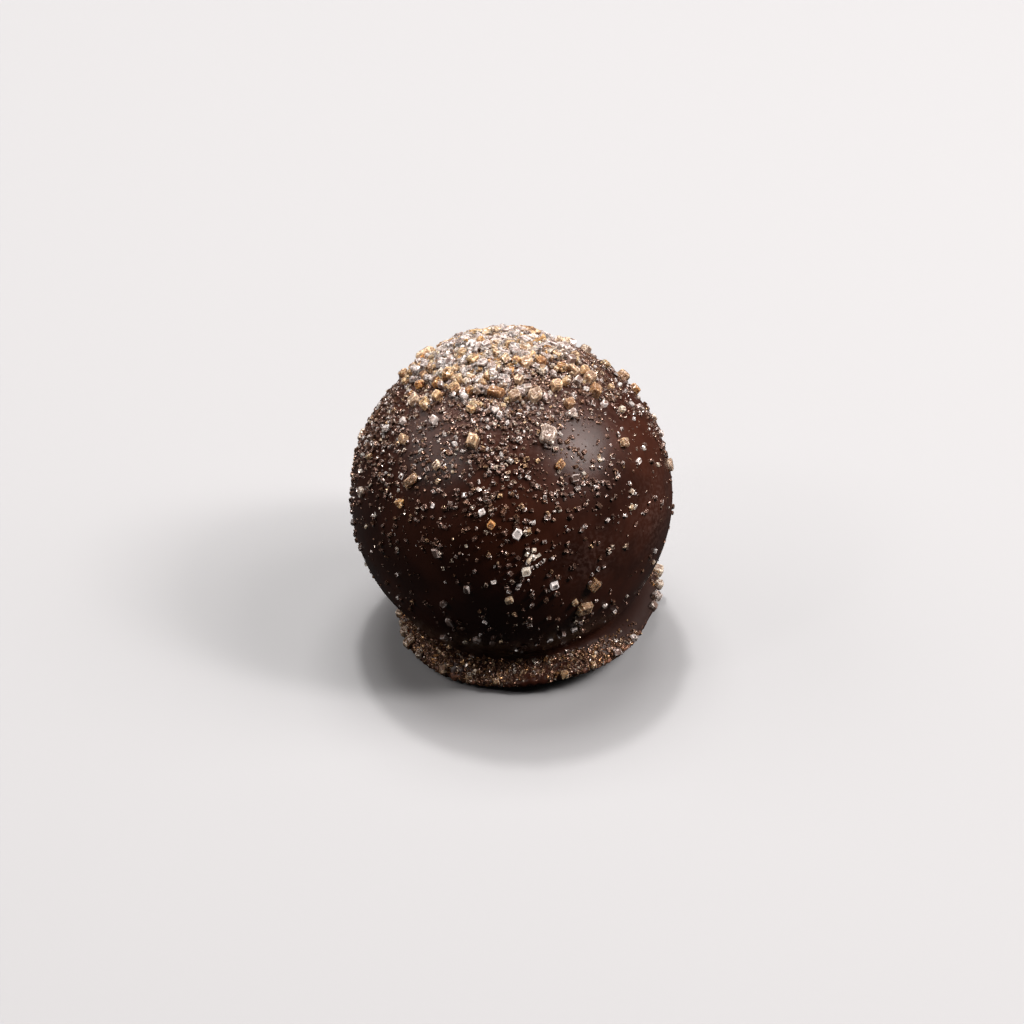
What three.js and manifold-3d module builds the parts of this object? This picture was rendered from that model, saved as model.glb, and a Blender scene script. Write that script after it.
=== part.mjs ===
// A chocolate truffle: a round dipped centre on the foot that its dark chocolate ran down into,
// strewn with coarse golden sugar, which lies thickest on its crown. It is one solid piece.
//
// Lengths are in millimetres and angles in degrees. +Z is up, and the origin is the middle of the
// flat underside. An azimuth turns from +X towards +Y, the side of -Y is the front, and a latitude
// is the angle above the middle of the ball.

import * as THREE from "three";
import { mergeVertices } from "three/addons/utils/BufferGeometryUtils.js";
import Module from "manifold-3d";

// The ball.
const BALL_RADIUS = 14;
const BALL_CENTRE_HEIGHT = 12.95;

// How far the truffle is out of round: each row is a number of lobes round it, their share of the
// radius, and the azimuth at which one starts.
const OUT_OF_ROUND = [
  { lobes: 2, share: 0.005, start: -20 },
  { lobes: 3, share: 0.003, start: 7 },
];

// The foot: how far its lip reaches from the axis, how high the lip hangs above the table, and the
// height at which the collar leaves the ball. Each has swells, which are given by their azimuth,
// their spread to either side, and what they add.
const LIP_REACH = 11.4;
const LIP_REACH_SWELLS = [
  { azimuth: 310, spread: 22, adds: 1.3 },
  { azimuth: 15, spread: 22, adds: 1.7 },
  { azimuth: 185, spread: 25, adds: -1.5 },
];
const LIP_HEIGHT = 0.95;
const LIP_HEIGHT_SWELLS = [
  { azimuth: 308, spread: 20, adds: 0.9 },
  { azimuth: 15, spread: 25, adds: 1.1 },
  { azimuth: 240, spread: 30, adds: -0.4 },
];
const COLLAR_HEIGHT = 4.6;
const COLLAR_HEIGHT_SWELLS = [
  { azimuth: 228, spread: 25, adds: 0.9 },
  { azimuth: 345, spread: 30, adds: 1.0 },
  { azimuth: 280, spread: 28, adds: -1.2 },
];
const LIP_THICKNESS = 0.5;
const LIP_DROOP = 25; // the slope down to the lip's edge
const COVE_PULL = 0.42; // how full the cove is, as a share of the straight way across it
const UNDERCUT_START = 1; // how far in from the lip's edge the flat underside starts
const UNDERCUT_SPREAD = 1.3; // and how much further in for each millimetre that the lip hangs
const UNDERCUT_ARCH = { width: 1, height: 0.15 }; // the bend where it leaves the table

// The crust of fine sugar on the crown, which is thickest at a place a little behind the top.
const CROWN = { azimuth: 120, latitude: 76 };
const CRUST_THICKNESS = 0.35;
const CRUST_SPREAD = 48;

// How finely the body is drawn.
const BODY_SEGMENTS = 60;
const BALL_STEPS = 16;
const COVE_STEPS = 5;
const LIP_STEPS = 3;
const UNDERCUT_STEPS = 2;

// The coarse crystals of sugar that stand out singly on the ball.
const SINGLE_CRYSTALS = [
  { azimuth: 141, latitude: 48, length: 1.75, width: 1.4, twist: 10 },
  { azimuth: 125, latitude: 50, length: 1, width: 0.85, twist: 40 },
  { azimuth: 120, latitude: 57, length: 0.95, width: 0.85, twist: 15 },
  { azimuth: 149, latitude: 69, length: 1.1, width: 0.95, twist: 20 },
  { azimuth: 139, latitude: 73, length: 1.25, width: 1, twist: 60 },
  { azimuth: 183, latitude: 72, length: 1.4, width: 0.85, twist: 35 },
  { azimuth: 172, latitude: 80, length: 0.8, width: 0.7, twist: 10 },
  { azimuth: 111, latitude: 82, length: 1.15, width: 0.95, twist: 30 },
  { azimuth: 174, latitude: 85, length: 0.8, width: 0.75, twist: 50 },
  { azimuth: 62, latitude: 82, length: 1.35, width: 1.15, twist: 15 },
  { azimuth: 338, latitude: 85, length: 1.3, width: 1.15, twist: 45 },
  { azimuth: 268, latitude: 84, length: 0.7, width: 0.5, twist: 80 },
  { azimuth: 1, latitude: 80, length: 0.9, width: 0.8, twist: 25 },
  { azimuth: 48, latitude: 69, length: 1.5, width: 0.65, twist: -35 },
  { azimuth: 18, latitude: 68, length: 0.9, width: 0.75, twist: 30 },
  { azimuth: 24, latitude: 73, length: 0.8, width: 0.7, twist: 60 },
  { azimuth: 355, latitude: 74, length: 0.9, width: 0.45, twist: 60 },
  { azimuth: 6, latitude: 64, length: 0.9, width: 0.8, twist: 20 },
  { azimuth: 359, latitude: 62, length: 1.2, width: 0.95, twist: 50 },
  { azimuth: 347, latitude: 66, length: 0.9, width: 0.75, twist: 70 },
  { azimuth: 348, latitude: 59, length: 1.2, width: 1.05, twist: 80 },
  { azimuth: 325, latitude: 71, length: 1, width: 0.9, twist: 25 },
  { azimuth: 295, latitude: 71, length: 1.3, width: 1.1, twist: 35 },
  { azimuth: 291, latitude: 75, length: 0.8, width: 0.65, twist: 10 },
  { azimuth: 273, latitude: 72, length: 1.15, width: 1, twist: 20 },
  { azimuth: 320, latitude: 63, length: 0.95, width: 0.85, twist: 40 },
  { azimuth: 304, latitude: 69, length: 0.85, width: 0.5, twist: 75 },
  { azimuth: 262, latitude: 78, length: 0.7, width: 0.6, twist: 25 },
  { azimuth: 251, latitude: 73, length: 1.5, width: 0.9, twist: -28 },
  { azimuth: 213, latitude: 72, length: 0.7, width: 0.6, twist: 20 },
  { azimuth: 219, latitude: 68, length: 0.65, width: 0.55, twist: 50 },
  { azimuth: 203, latitude: 61, length: 0.9, width: 0.8, twist: 40 },
  { azimuth: 195, latitude: 64, length: 0.6, width: 0.55, twist: 70 },
  { azimuth: 192, latitude: 53, length: 1, width: 0.85, twist: 20 },
  { azimuth: 217, latitude: 54, length: 0.75, width: 0.65, twist: 45 },
  { azimuth: 199, latitude: 46, length: 0.6, width: 0.55, twist: 10 },
  { azimuth: 82, latitude: 58, length: 1.2, width: 1, twist: 45 },
  { azimuth: 75, latitude: 56, length: 0.75, width: 0.65, twist: 20 },
  { azimuth: 60, latitude: 54, length: 0.65, width: 0.6, twist: 30 },
  { azimuth: 55, latitude: 51, length: 0.75, width: 0.65, twist: 60 },
  { azimuth: 48, latitude: 48, length: 1.15, width: 0.9, twist: 50 },
  { azimuth: 31, latitude: 38, length: 1.4, width: 1.2, twist: 70 },
  { azimuth: 25, latitude: 34, length: 1.05, width: 0.95, twist: 30 },
  { azimuth: 2, latitude: 53, length: 0.6, width: 0.5, twist: 20 },
  { azimuth: 343, latitude: 54, length: 0.65, width: 0.5, twist: 30 },
  { azimuth: 350, latitude: 47, length: 0.7, width: 0.6, twist: 15 },
  { azimuth: 6, latitude: 38, length: 0.65, width: 0.5, twist: 30 },
  { azimuth: 256, latitude: 66, length: 0.65, width: 0.55, twist: 30 },
  { azimuth: 260, latitude: 64, length: 0.6, width: 0.5, twist: 60 },
  { azimuth: 247, latitude: 53, length: 1.2, width: 1, twist: 65 },
  { azimuth: 292, latitude: 55, length: 1.6, width: 1.3, twist: 75 },
  { azimuth: 294, latitude: 44, length: 0.85, width: 0.75, twist: 55 },
  { azimuth: 233, latitude: 41, length: 0.8, width: 0.65, twist: 30 },
  { azimuth: 208, latitude: 42, length: 0.9, width: 0.85, twist: 40 },
  { azimuth: 333, latitude: 40, length: 0.9, width: 0.85, twist: 25 },
  { azimuth: 299, latitude: 38, length: 0.75, width: 0.7, twist: 20 },
  { azimuth: 224, latitude: 32, length: 1.4, width: 0.75, twist: 15 },
  { azimuth: 335, latitude: 31, length: 0.6, width: 0.5, twist: 60 },
  { azimuth: 258, latitude: 29, length: 0.6, width: 0.55, twist: 20 },
  { azimuth: 262, latitude: 25, length: 0.75, width: 0.7, twist: 45 },
  { azimuth: 17, latitude: 24, length: 0.7, width: 0.6, twist: 20 },
  { azimuth: 7, latitude: 23, length: 0.75, width: 0.65, twist: 70 },
  { azimuth: 272, latitude: 22, length: 0.95, width: 0.75, twist: 60 },
  { azimuth: 168, latitude: 19, length: 1.3, width: 0.7, twist: 60 },
  { azimuth: 198, latitude: 14, length: 0.8, width: 0.65, twist: 20 },
  { azimuth: 1, latitude: 13, length: 1.2, width: 0.7, twist: 85 },
  { azimuth: 170, latitude: 12, length: 0.65, width: 0.55, twist: 40 },
  { azimuth: 242, latitude: 11, length: 0.9, width: 0.6, twist: 85 },
  { azimuth: 275, latitude: 8, length: 0.8, width: 0.7, twist: 15 },
  { azimuth: 285, latitude: 1, length: 0.8, width: 0.65, twist: 30 },
  { azimuth: 254, latitude: -1, length: 0.7, width: 0.5, twist: 80 },
  { azimuth: 300, latitude: -3, length: 1.15, width: 0.95, twist: 75 },
  { azimuth: 269, latitude: -4, length: 0.7, width: 0.6, twist: 20 },
  { azimuth: 293, latitude: -9, length: 0.6, width: 0.55, twist: 50 },
  { azimuth: 245, latitude: -10, length: 0.7, width: 0.55, twist: 20 },
  { azimuth: 297, latitude: -13, length: 1.3, width: 1.1, twist: 20 },
  { azimuth: 246, latitude: -20, length: 0.9, width: 0.55, twist: 80 },
  { azimuth: 295, latitude: -25, length: 0.6, width: 0.5, twist: 40 },
  { azimuth: 290, latitude: -27, length: 0.8, width: 0.65, twist: 70 },
  { azimuth: 256, latitude: -28, length: 0.8, width: 0.7, twist: 30 },
  { azimuth: 262, latitude: -30, length: 0.6, width: 0.5, twist: 60 },
  { azimuth: 240, latitude: -34, length: 1, width: 0.7, twist: 10 },
];

// Those that stick out singly from the lip of the foot.
const LIP_CRYSTALS = [
  { azimuth: 14, length: 1.3, width: 1.05, twist: 0 },
  { azimuth: 5, length: 0.9, width: 0.8, twist: 30 },
  { azimuth: 352, length: 0.8, width: 0.7, twist: 75 },
  { azimuth: 189, length: 0.9, width: 0.75, twist: 60 },
  { azimuth: 197, length: 0.7, width: 0.6, twist: 20 },
  { azimuth: 204, length: 0.9, width: 0.75, twist: 80 },
  { azimuth: 212, length: 1.2, width: 0.85, twist: 35 },
  { azimuth: 222, length: 0.8, width: 0.65, twist: 65 },
];
const LIP_CRYSTAL_LEAN = 10;
const SINGLE_HEIGHT_SHARE = 0.85; // the height of a single crystal as a share of its width
const CUT_CORNER_SHARE = 0.25; // the cut corners of a single crystal as a share of its width

// The rest of the coarse sugar lies at places on a spiral round the ball. A place is taken as often
// as sugar lies thickly there: on the crown, on the shoulder round it, and here and there all over.
const SPIRAL_PLACES = 2600;
const CROWN_DENSITY = 0.97;
const CROWN_SPREAD = 24;
const SHOULDER_DENSITY = 0.05;
const SHOULDER_SPREAD = 30;
const STRAY_DENSITY = 0.001;
const STREWN_LENGTHS = [0.8, 1.3];
const STREWN_SHARES = [0.65, 0.95]; // of the length, for the width and the height
const STREWN_LEAN = 24; // the most that one leans from lying flat
const CLEAR_OF_SINGLES = 0.95; // from the middle of a single crystal to that of any other
const CLEAR_OF_COLLAR = 1; // from the collar up to the lowest one
const SUNK_SHARE = 0.4; // of a crystal's height that lies in the chocolate

// Smaller crystals lie all along the lip.
const LIP_PLACES = 22;
const LIP_LENGTHS = [0.55, 0.85];

// Shares of a turn that never come back to where they started, so that what is placed or sized by
// their multiples is spread evenly and no two are alike.
const GOLDEN_TURN = (3 - Math.sqrt(5)) / 2;
const SECOND_TURN = 0.7548776662466927;
const THIRD_TURN = 0.5698402909980532;

const CHOCOLATE_COLOUR = 0x2b140d;
const CHOCOLATE_ROUGHNESS = 0.35;

const MERGE_DISTANCE = 1e-5;

const { degToRad, radToDeg, lerp } = THREE.MathUtils;
const UP = new THREE.Vector3(0, 0, 1);
const ALONG = new THREE.Vector3(1, 0, 0);

const wasm = await Module();
wasm.setup();

// The part of a number behind the point.
function fraction(value) {
  return value - Math.floor(value);
}

// The turn from one azimuth to another, from -180 to 180.
function turnBetween(from, to) {
  return THREE.MathUtils.euclideanModulo(to - from + 180, 360) - 180;
}

// A value at an azimuth, with what each of its swells adds there.
function swollen(value, swells, azimuth) {
  let total = value;
  for (const swell of swells) {
    const away = turnBetween(swell.azimuth, azimuth) / swell.spread;
    total += swell.adds * Math.exp(-0.5 * away ** 2);
  }
  return total;
}

function directionOf(azimuth, latitude) {
  const outward = Math.cos(degToRad(latitude));
  return new THREE.Vector3(
    outward * Math.cos(degToRad(azimuth)),
    outward * Math.sin(degToRad(azimuth)),
    Math.sin(degToRad(latitude)),
  );
}

const crownDirection = directionOf(CROWN.azimuth, CROWN.latitude);

// How many times its true radius the truffle has at an azimuth.
function roundnessAt(azimuth) {
  let total = 1;
  for (const { lobes, share, start } of OUT_OF_ROUND) {
    total += share * Math.sin(degToRad(lobes * (azimuth - start)));
  }
  return total;
}

function crustAt(direction) {
  const away = radToDeg(direction.angleTo(crownDirection)) / CRUST_SPREAD;
  return CRUST_THICKNESS * Math.exp(-(away ** 4));
}

function footAt(azimuth) {
  return {
    reach: swollen(LIP_REACH, LIP_REACH_SWELLS, azimuth),
    height: swollen(LIP_HEIGHT, LIP_HEIGHT_SWELLS, azimuth),
    collar: swollen(COLLAR_HEIGHT, COLLAR_HEIGHT_SWELLS, azimuth),
  };
}

// Half of the truffle's outline at one azimuth, as points of radius and height. It runs from the
// middle of the flat underside out to its edge, up under the lip and round the lip's edge, in along
// the cove of the collar, and up the ball to the top.
function outlineAt(azimuth) {
  const foot = footAt(azimuth);
  const collarAngle = Math.asin((foot.collar - BALL_CENTRE_HEIGHT) / BALL_RADIUS);
  const ball = new THREE.EllipseCurve(
    0,
    BALL_CENTRE_HEIGHT,
    BALL_RADIUS,
    BALL_RADIUS,
    collarAngle,
    Math.PI / 2,
  );
  const lipRadius = LIP_THICKNESS / 2;
  const lipTopAngle = degToRad(90 - LIP_DROOP);
  const lip = new THREE.EllipseCurve(
    foot.reach - lipRadius,
    foot.height + lipRadius,
    lipRadius,
    lipRadius,
    -Math.PI / 2,
    lipTopAngle,
  );
  const lipTop = lip.getPoint(1);
  const ballFoot = ball.getPoint(0);
  const pull = COVE_PULL * lipTop.distanceTo(ballFoot);
  const upTheLip = new THREE.Vector2(-Math.sin(lipTopAngle), Math.cos(lipTopAngle));
  const downTheBall = new THREE.Vector2(Math.sin(collarAngle), -Math.cos(collarAngle));
  const cove = new THREE.CubicBezierCurve(
    lipTop,
    lipTop.clone().addScaledVector(upTheLip, pull),
    ballFoot.clone().addScaledVector(downTheBall, pull),
    ballFoot,
  );
  const baseRadius = foot.reach - UNDERCUT_START - UNDERCUT_SPREAD * foot.height;
  const undercut = new THREE.QuadraticBezierCurve(
    new THREE.Vector2(baseRadius, 0),
    new THREE.Vector2(baseRadius + UNDERCUT_ARCH.width, UNDERCUT_ARCH.height),
    lip.getPoint(0),
  );
  return [
    new THREE.Vector2(0, 0),
    ...undercut.getPoints(UNDERCUT_STEPS),
    ...lip.getPoints(LIP_STEPS).slice(1),
    ...cove.getPoints(COVE_STEPS).slice(1),
    ...ball.getPoints(BALL_STEPS).slice(1),
  ];
}

// Where a point of the outline at an azimuth lies, with the crust on it.
function outlinePlace(azimuth, point) {
  const place = directionOf(azimuth, 0).multiplyScalar(point.x * roundnessAt(azimuth));
  place.z = point.y;
  const direction = place.clone().setZ(point.y - BALL_CENTRE_HEIGHT).normalize();
  return place.addScaledVector(direction, crustAt(direction));
}

// The ball and its foot, a lathed body whose outline changes round the axis.
function bodyGeometry() {
  const geometry = new THREE.LatheGeometry(outlineAt(0), BODY_SEGMENTS);
  const position = geometry.getAttribute("position");
  const rows = outlineAt(0).length;
  for (let column = 0; column <= BODY_SEGMENTS; column++) {
    const azimuth = (360 * (column % BODY_SEGMENTS)) / BODY_SEGMENTS;
    const outline = outlineAt(azimuth);
    outline[rows - 1].x = 0;
    outline.forEach((point, row) => {
      const onAxis = point.x === 0;
      const place = outlinePlace(onAxis ? 0 : azimuth, point);
      position.setXYZ(column * rows + row, place.x, place.y, place.z);
    });
  }
  return geometry;
}

// A closed geometry as a solid that can be joined to others.
function solidOf(geometry) {
  const bare = new THREE.BufferGeometry();
  bare.setAttribute("position", geometry.getAttribute("position"));
  bare.setIndex(geometry.getIndex());
  const merged = mergeVertices(bare, MERGE_DISTANCE);
  const index = merged.getIndex().array;
  const triangles = [];
  for (let i = 0; i < index.length; i += 3) {
    const triangle = [index[i], index[i + 1], index[i + 2]];
    if (new Set(triangle).size === 3) triangles.push(...triangle);
  }
  return new wasm.Manifold(
    new wasm.Mesh({
      numProp: 3,
      vertProperties: merged.getAttribute("position").array,
      triVerts: new Uint32Array(triangles),
    }),
  );
}

// A block of sugar round the origin, with two of its upright corners cut.
function cutBlock({ length, width, height }) {
  const x = length / 2;
  const y = width / 2;
  const cut = CUT_CORNER_SHARE * width;
  const outline = new THREE.Shape();
  outline.moveTo(-x, -y);
  outline.lineTo(x - cut, -y);
  outline.lineTo(x, cut - y);
  outline.lineTo(x, y);
  outline.lineTo(cut - x, y);
  outline.lineTo(-x, y - cut);
  const geometry = new THREE.ExtrudeGeometry(outline, { depth: height, bevelEnabled: false });
  return geometry.translate(0, 0, -height / 2);
}

function plainBlock({ length, width, height }) {
  return new THREE.BoxGeometry(length, width, height);
}

// A crystal at its point of the surface. It is twisted round the surface's normal, leans from
// lying flat, and has a part of its height sunk below the point.
function crystalSolid(crystal) {
  const geometry = crystal.shape(crystal);
  const turn = new THREE.Quaternion().setFromUnitVectors(UP, crystal.normal);
  turn.multiply(new THREE.Quaternion().setFromAxisAngle(UP, degToRad(crystal.twist)));
  turn.multiply(new THREE.Quaternion().setFromAxisAngle(ALONG, degToRad(crystal.lean)));
  geometry.applyQuaternion(turn);
  const raised = crystal.height * (0.5 - SUNK_SHARE);
  const middle = crystal.point.clone().addScaledVector(crystal.normal, raised);
  geometry.translate(middle.x, middle.y, middle.z);
  return solidOf(geometry);
}

function placeOnBall(azimuth, latitude) {
  const normal = directionOf(azimuth, latitude);
  const point = normal.clone().multiplyScalar(BALL_RADIUS + crustAt(normal));
  const roundness = roundnessAt(azimuth);
  point.set(point.x * roundness, point.y * roundness, point.z + BALL_CENTRE_HEIGHT);
  return { point, normal };
}

// The place on the edge of the lip at an azimuth.
function placeOnLip(azimuth) {
  const foot = footAt(azimuth);
  const point = directionOf(azimuth, 0).multiplyScalar(foot.reach * roundnessAt(azimuth));
  point.z = foot.height + LIP_THICKNESS;
  return { point, normal: directionOf(azimuth, 90 - LIP_DROOP) };
}

// How thickly the coarse sugar lies in a direction from the middle of the ball, from 0 to 1.
function densityAt(direction) {
  const fromCrown = radToDeg(direction.angleTo(crownDirection)) / CROWN_SPREAD;
  const fromTop = radToDeg(direction.angleTo(UP)) / SHOULDER_SPREAD;
  const crown = Math.exp(-(fromCrown ** 2));
  const shoulder = SHOULDER_DENSITY * Math.exp(-(fromTop ** 2));
  return CROWN_DENSITY * crown + shoulder * (1 - crown) + STRAY_DENSITY;
}

function singleCrystal(single, place, lean) {
  const height = SINGLE_HEIGHT_SHARE * single.width;
  return { ...single, ...place, height, lean, shape: cutBlock };
}

// A crystal at a place, of a length in a range, whose proportions and turns come from its number.
function strewnCrystal(number, place, [shortest, longest]) {
  const chance = fraction(number * THIRD_TURN);
  const length = lerp(shortest, longest, chance ** 2);
  return {
    ...place,
    length,
    width: length * lerp(...STREWN_SHARES, fraction(7 * chance)),
    height: length * lerp(...STREWN_SHARES, fraction(5 * chance)),
    twist: 360 * fraction(11 * chance),
    lean: lerp(-STREWN_LEAN, STREWN_LEAN, fraction(13 * chance)),
    shape: plainBlock,
  };
}

function crystalsOnBall() {
  const singles = SINGLE_CRYSTALS.map((single) =>
    singleCrystal(single, placeOnBall(single.azimuth, single.latitude), 0),
  );
  const strewn = [];
  for (let number = 0; number < SPIRAL_PLACES; number++) {
    const latitude = radToDeg(Math.asin(1 - (2 * number + 1) / SPIRAL_PLACES));
    const azimuth = 360 * fraction(number * GOLDEN_TURN);
    const place = placeOnBall(azimuth, latitude);
    const isTaken = fraction(number * SECOND_TURN) < densityAt(place.normal);
    const isHigh = place.point.z > footAt(azimuth).collar + CLEAR_OF_COLLAR;
    const isClear = singles.every(
      (single) => single.point.distanceTo(place.point) > CLEAR_OF_SINGLES,
    );
    if (isTaken && isHigh && isClear) strewn.push(strewnCrystal(number, place, STREWN_LENGTHS));
  }
  return [...singles, ...strewn];
}

function crystalsOnLip() {
  const singles = LIP_CRYSTALS.map((single) =>
    singleCrystal(single, placeOnLip(single.azimuth), LIP_CRYSTAL_LEAN),
  );
  const strewn = [];
  for (let number = 0; number < LIP_PLACES; number++) {
    const place = placeOnLip((360 * (number + fraction(number * SECOND_TURN))) / LIP_PLACES);
    const isClear = singles.every(
      (single) => single.point.distanceTo(place.point) > CLEAR_OF_SINGLES,
    );
    if (isClear) strewn.push(strewnCrystal(number, place, LIP_LENGTHS));
  }
  return [...singles, ...strewn];
}

// The body with every crystal joined to it.
function truffleGeometry() {
  let whole = solidOf(bodyGeometry());
  for (const crystal of [...crystalsOnBall(), ...crystalsOnLip()]) {
    whole = whole.add(crystalSolid(crystal));
  }
  const mesh = whole.getMesh();
  const geometry = new THREE.BufferGeometry();
  geometry.setAttribute("position", new THREE.BufferAttribute(mesh.vertProperties, 3));
  geometry.setIndex(new THREE.BufferAttribute(mesh.triVerts, 1));
  geometry.computeVertexNormals();
  return geometry;
}

const truffle = new THREE.Mesh(
  truffleGeometry(),
  new THREE.MeshStandardMaterial({ color: CHOCOLATE_COLOUR, roughness: CHOCOLATE_ROUGHNESS }),
);
truffle.name = "truffle";

const part = new THREE.Group();
part.add(truffle);
export default part;
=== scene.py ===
"""A chocolate truffle: a round dipped centre on the thin foot that its dark chocolate ran down
into, strewn with coarse golden sugar and fine clear sugar.

Everything is in metres and degrees in the part's own frame: +Z is up and the origin is the middle
of the flat underside. An azimuth turns from +X towards +Y, the side of -Y is the front, and a
latitude is the angle above the middle of the ball. A bell is e to the power of minus a square, and
a swell is a bell round one azimuth.
"""

from math import comb

import bpy
import numpy as np
from bpy.props import FloatProperty, FloatVectorProperty, IntProperty, PointerProperty
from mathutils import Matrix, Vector


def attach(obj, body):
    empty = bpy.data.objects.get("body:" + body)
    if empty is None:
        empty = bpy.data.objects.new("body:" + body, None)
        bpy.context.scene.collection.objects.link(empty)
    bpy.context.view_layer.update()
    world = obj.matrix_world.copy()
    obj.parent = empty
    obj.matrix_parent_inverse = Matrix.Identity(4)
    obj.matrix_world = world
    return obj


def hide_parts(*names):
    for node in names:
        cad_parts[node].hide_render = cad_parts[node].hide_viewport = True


bl_info = {
    "name": "Chocolate Truffle",
    "version": (1, 0, 0),
    "blender": (4, 5, 0),
    "location": "View3D > Sidebar > Truffle",
    "description": "Makes a dipped chocolate truffle strewn with coarse and fine sugar",
    "category": "Add Mesh",
}

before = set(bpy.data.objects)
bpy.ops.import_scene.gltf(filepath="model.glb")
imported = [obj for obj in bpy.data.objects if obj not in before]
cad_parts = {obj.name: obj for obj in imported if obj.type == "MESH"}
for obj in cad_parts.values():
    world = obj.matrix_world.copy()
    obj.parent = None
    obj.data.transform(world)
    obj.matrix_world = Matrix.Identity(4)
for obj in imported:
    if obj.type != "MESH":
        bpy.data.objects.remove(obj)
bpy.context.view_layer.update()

MM = 0.001
FLAT_TOP = 4
BODY = "root"
NODE = "truffle"

# How far the truffle is out of round, as rows of the number of lobes round it, their share of the
# radius, and the azimuth at which one starts.
OUT_OF_ROUND = ((2, 0.005, -20), (3, 0.003, 7))

# The swells of the foot, as rows of their azimuth, their spread to either side, and what they add.
LIP_REACH_SWELLS = ((310, 22, 1.3 * MM), (15, 22, 1.7 * MM), (185, 25, -1.5 * MM))
LIP_HEIGHT_SWELLS = ((308, 20, 0.9 * MM), (15, 25, 1.1 * MM), (240, 30, -0.4 * MM))
COLLAR_HEIGHT_SWELLS = ((228, 25, 0.9 * MM), (345, 30, 1.0 * MM), (280, 28, -1.2 * MM))

# How far the lip droops, how hard the cove's curve is pulled at its ends, how far in from the lip
# the undercut starts, and how it arches. A curve's slope is taken over a small step.
LIP_DROOP = 25
COVE_PULL = 0.42
UNDERCUT_START = 1 * MM
UNDERCUT_SPREAD = 1.3
UNDERCUT_ARCH = (1 * MM, 0.15 * MM)
SLOPE_STEP = 0.001

# Where the lip's edge is torn, as rows of azimuth, spread to either side and how much.
TORN_EDGES = ((248, 14, 1.2), (320, 14, 1.3), (205, 12, 0.5), (100, 20, 0.8))

# Where the chocolate is painted warmer, and where sugar dust lies on it, as rows of azimuth,
# latitude, spread and how much. The dust's last row, on the crown, is painted light: the same pale
# colour painted between the crystals there.
WARM_PATCHES = ((266, 12, 14, 0.9), (345, 15, 20, 0.4), (240, 60, 30, 0.5))
DUST_AND_PAINTED_LIGHT_PLACES = ((336, 8, 14, 0.3), (299, 8, 10, 0.3), (190, -10, 12, 0.15), (118, 76, 32, 1.2))

# How finely the coating is drawn: columns round it, and rows on each part of its outline.
COATING_COLUMNS = 384
COATING_ROWS = {"base": 3, "undercut": 8, "lip": 8, "cove": 26, "ball": 150}

# Relief of the coating, as rows of noise size, seed and height. The foot also has round lumps,
# and its lip is uneven, more so where it is torn. Bare places keep a share of the foot's relief.
# The relief fades out at the top, and bare chocolate turns dull and is painted dark, as painted
# shade, down the cove, at these rates.
# The torn colour falls off up the lip, from the first number by the second.
BALL_RELIEF = ((6 * MM, 11, 0.05 * MM), (2 * MM, 12, 0.02 * MM))
FOOT_RELIEF = ((1.6 * MM, 13, 0.1 * MM),)
FOOT_LUMPS = ((0.75 * MM, 14, 0.16 * MM), (0.4 * MM, 17, 0.08 * MM))
LIP_RELIEF = ((0.7 * MM, 21, 0.12 * MM),)
TORN_RELIEF = ((0.7 * MM, 21, 0.14 * MM), (0.33 * MM, 22, 0.16 * MM))
BARE_RELIEF = 0.2
TORN_LIP = (3.0, 2.6)
TOP_FADE = 30
DULL_RISE = 3

# The chocolate's finish. The Mottle group's values, for its marbling and for the dust and painted
# light on it, are the sizes of the clouds and of the pits, and the levels between which a cloud
# fades in.
MARBLED = (5 * MM, 0.3 * MM, 0.35, 0.65)
DUSTED = (0.35 * MM, 0.06 * MM, 0.4, 0.7)
CLOUD_ROUGHNESS = (-0.03, 0.05)
BUMP = {"Distance": 0.02 * MM, "Strength": 0.35}
FRAY = 0.6
TORN_LEVELS = (0.6, 1.4)
DULL_ROUGHNESS = 0.7
TORN_ROUGHNESS = 0.75
CHOCOLATE_SPECULAR = 0.36

# The crust of sugar on the crown, which is thickest a little behind the top.
CROWN = (120, 76)
CRUST_THICKNESS = 0.35 * MM
CRUST_SPREAD = 48

# The heap of small crystals on it: how many draws, above which share of the radius, the chance
# of each on the heap and elsewhere, how high it is piled, and how far its crystals are sunk. The
# first share of them is pale.
HEAP = (124, 74)
HEAP_SPREAD = 22
HEAP_TRIES = 12000
HEAP_LOWEST = 0.3
HEAP_CHANCE = 0.6
HEAP_STRAYS = 0.0015
HEAP_LENGTHS = (0.45 * MM, 0.95 * MM)
HEAP_HEIGHT = 0.65 * MM
HEAP_DROP = 0.1 * MM
HEAP_SUNK = 0.2
HEAP_PALE = 0.5
HEAP_PALE_TINT = 0.2
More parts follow.
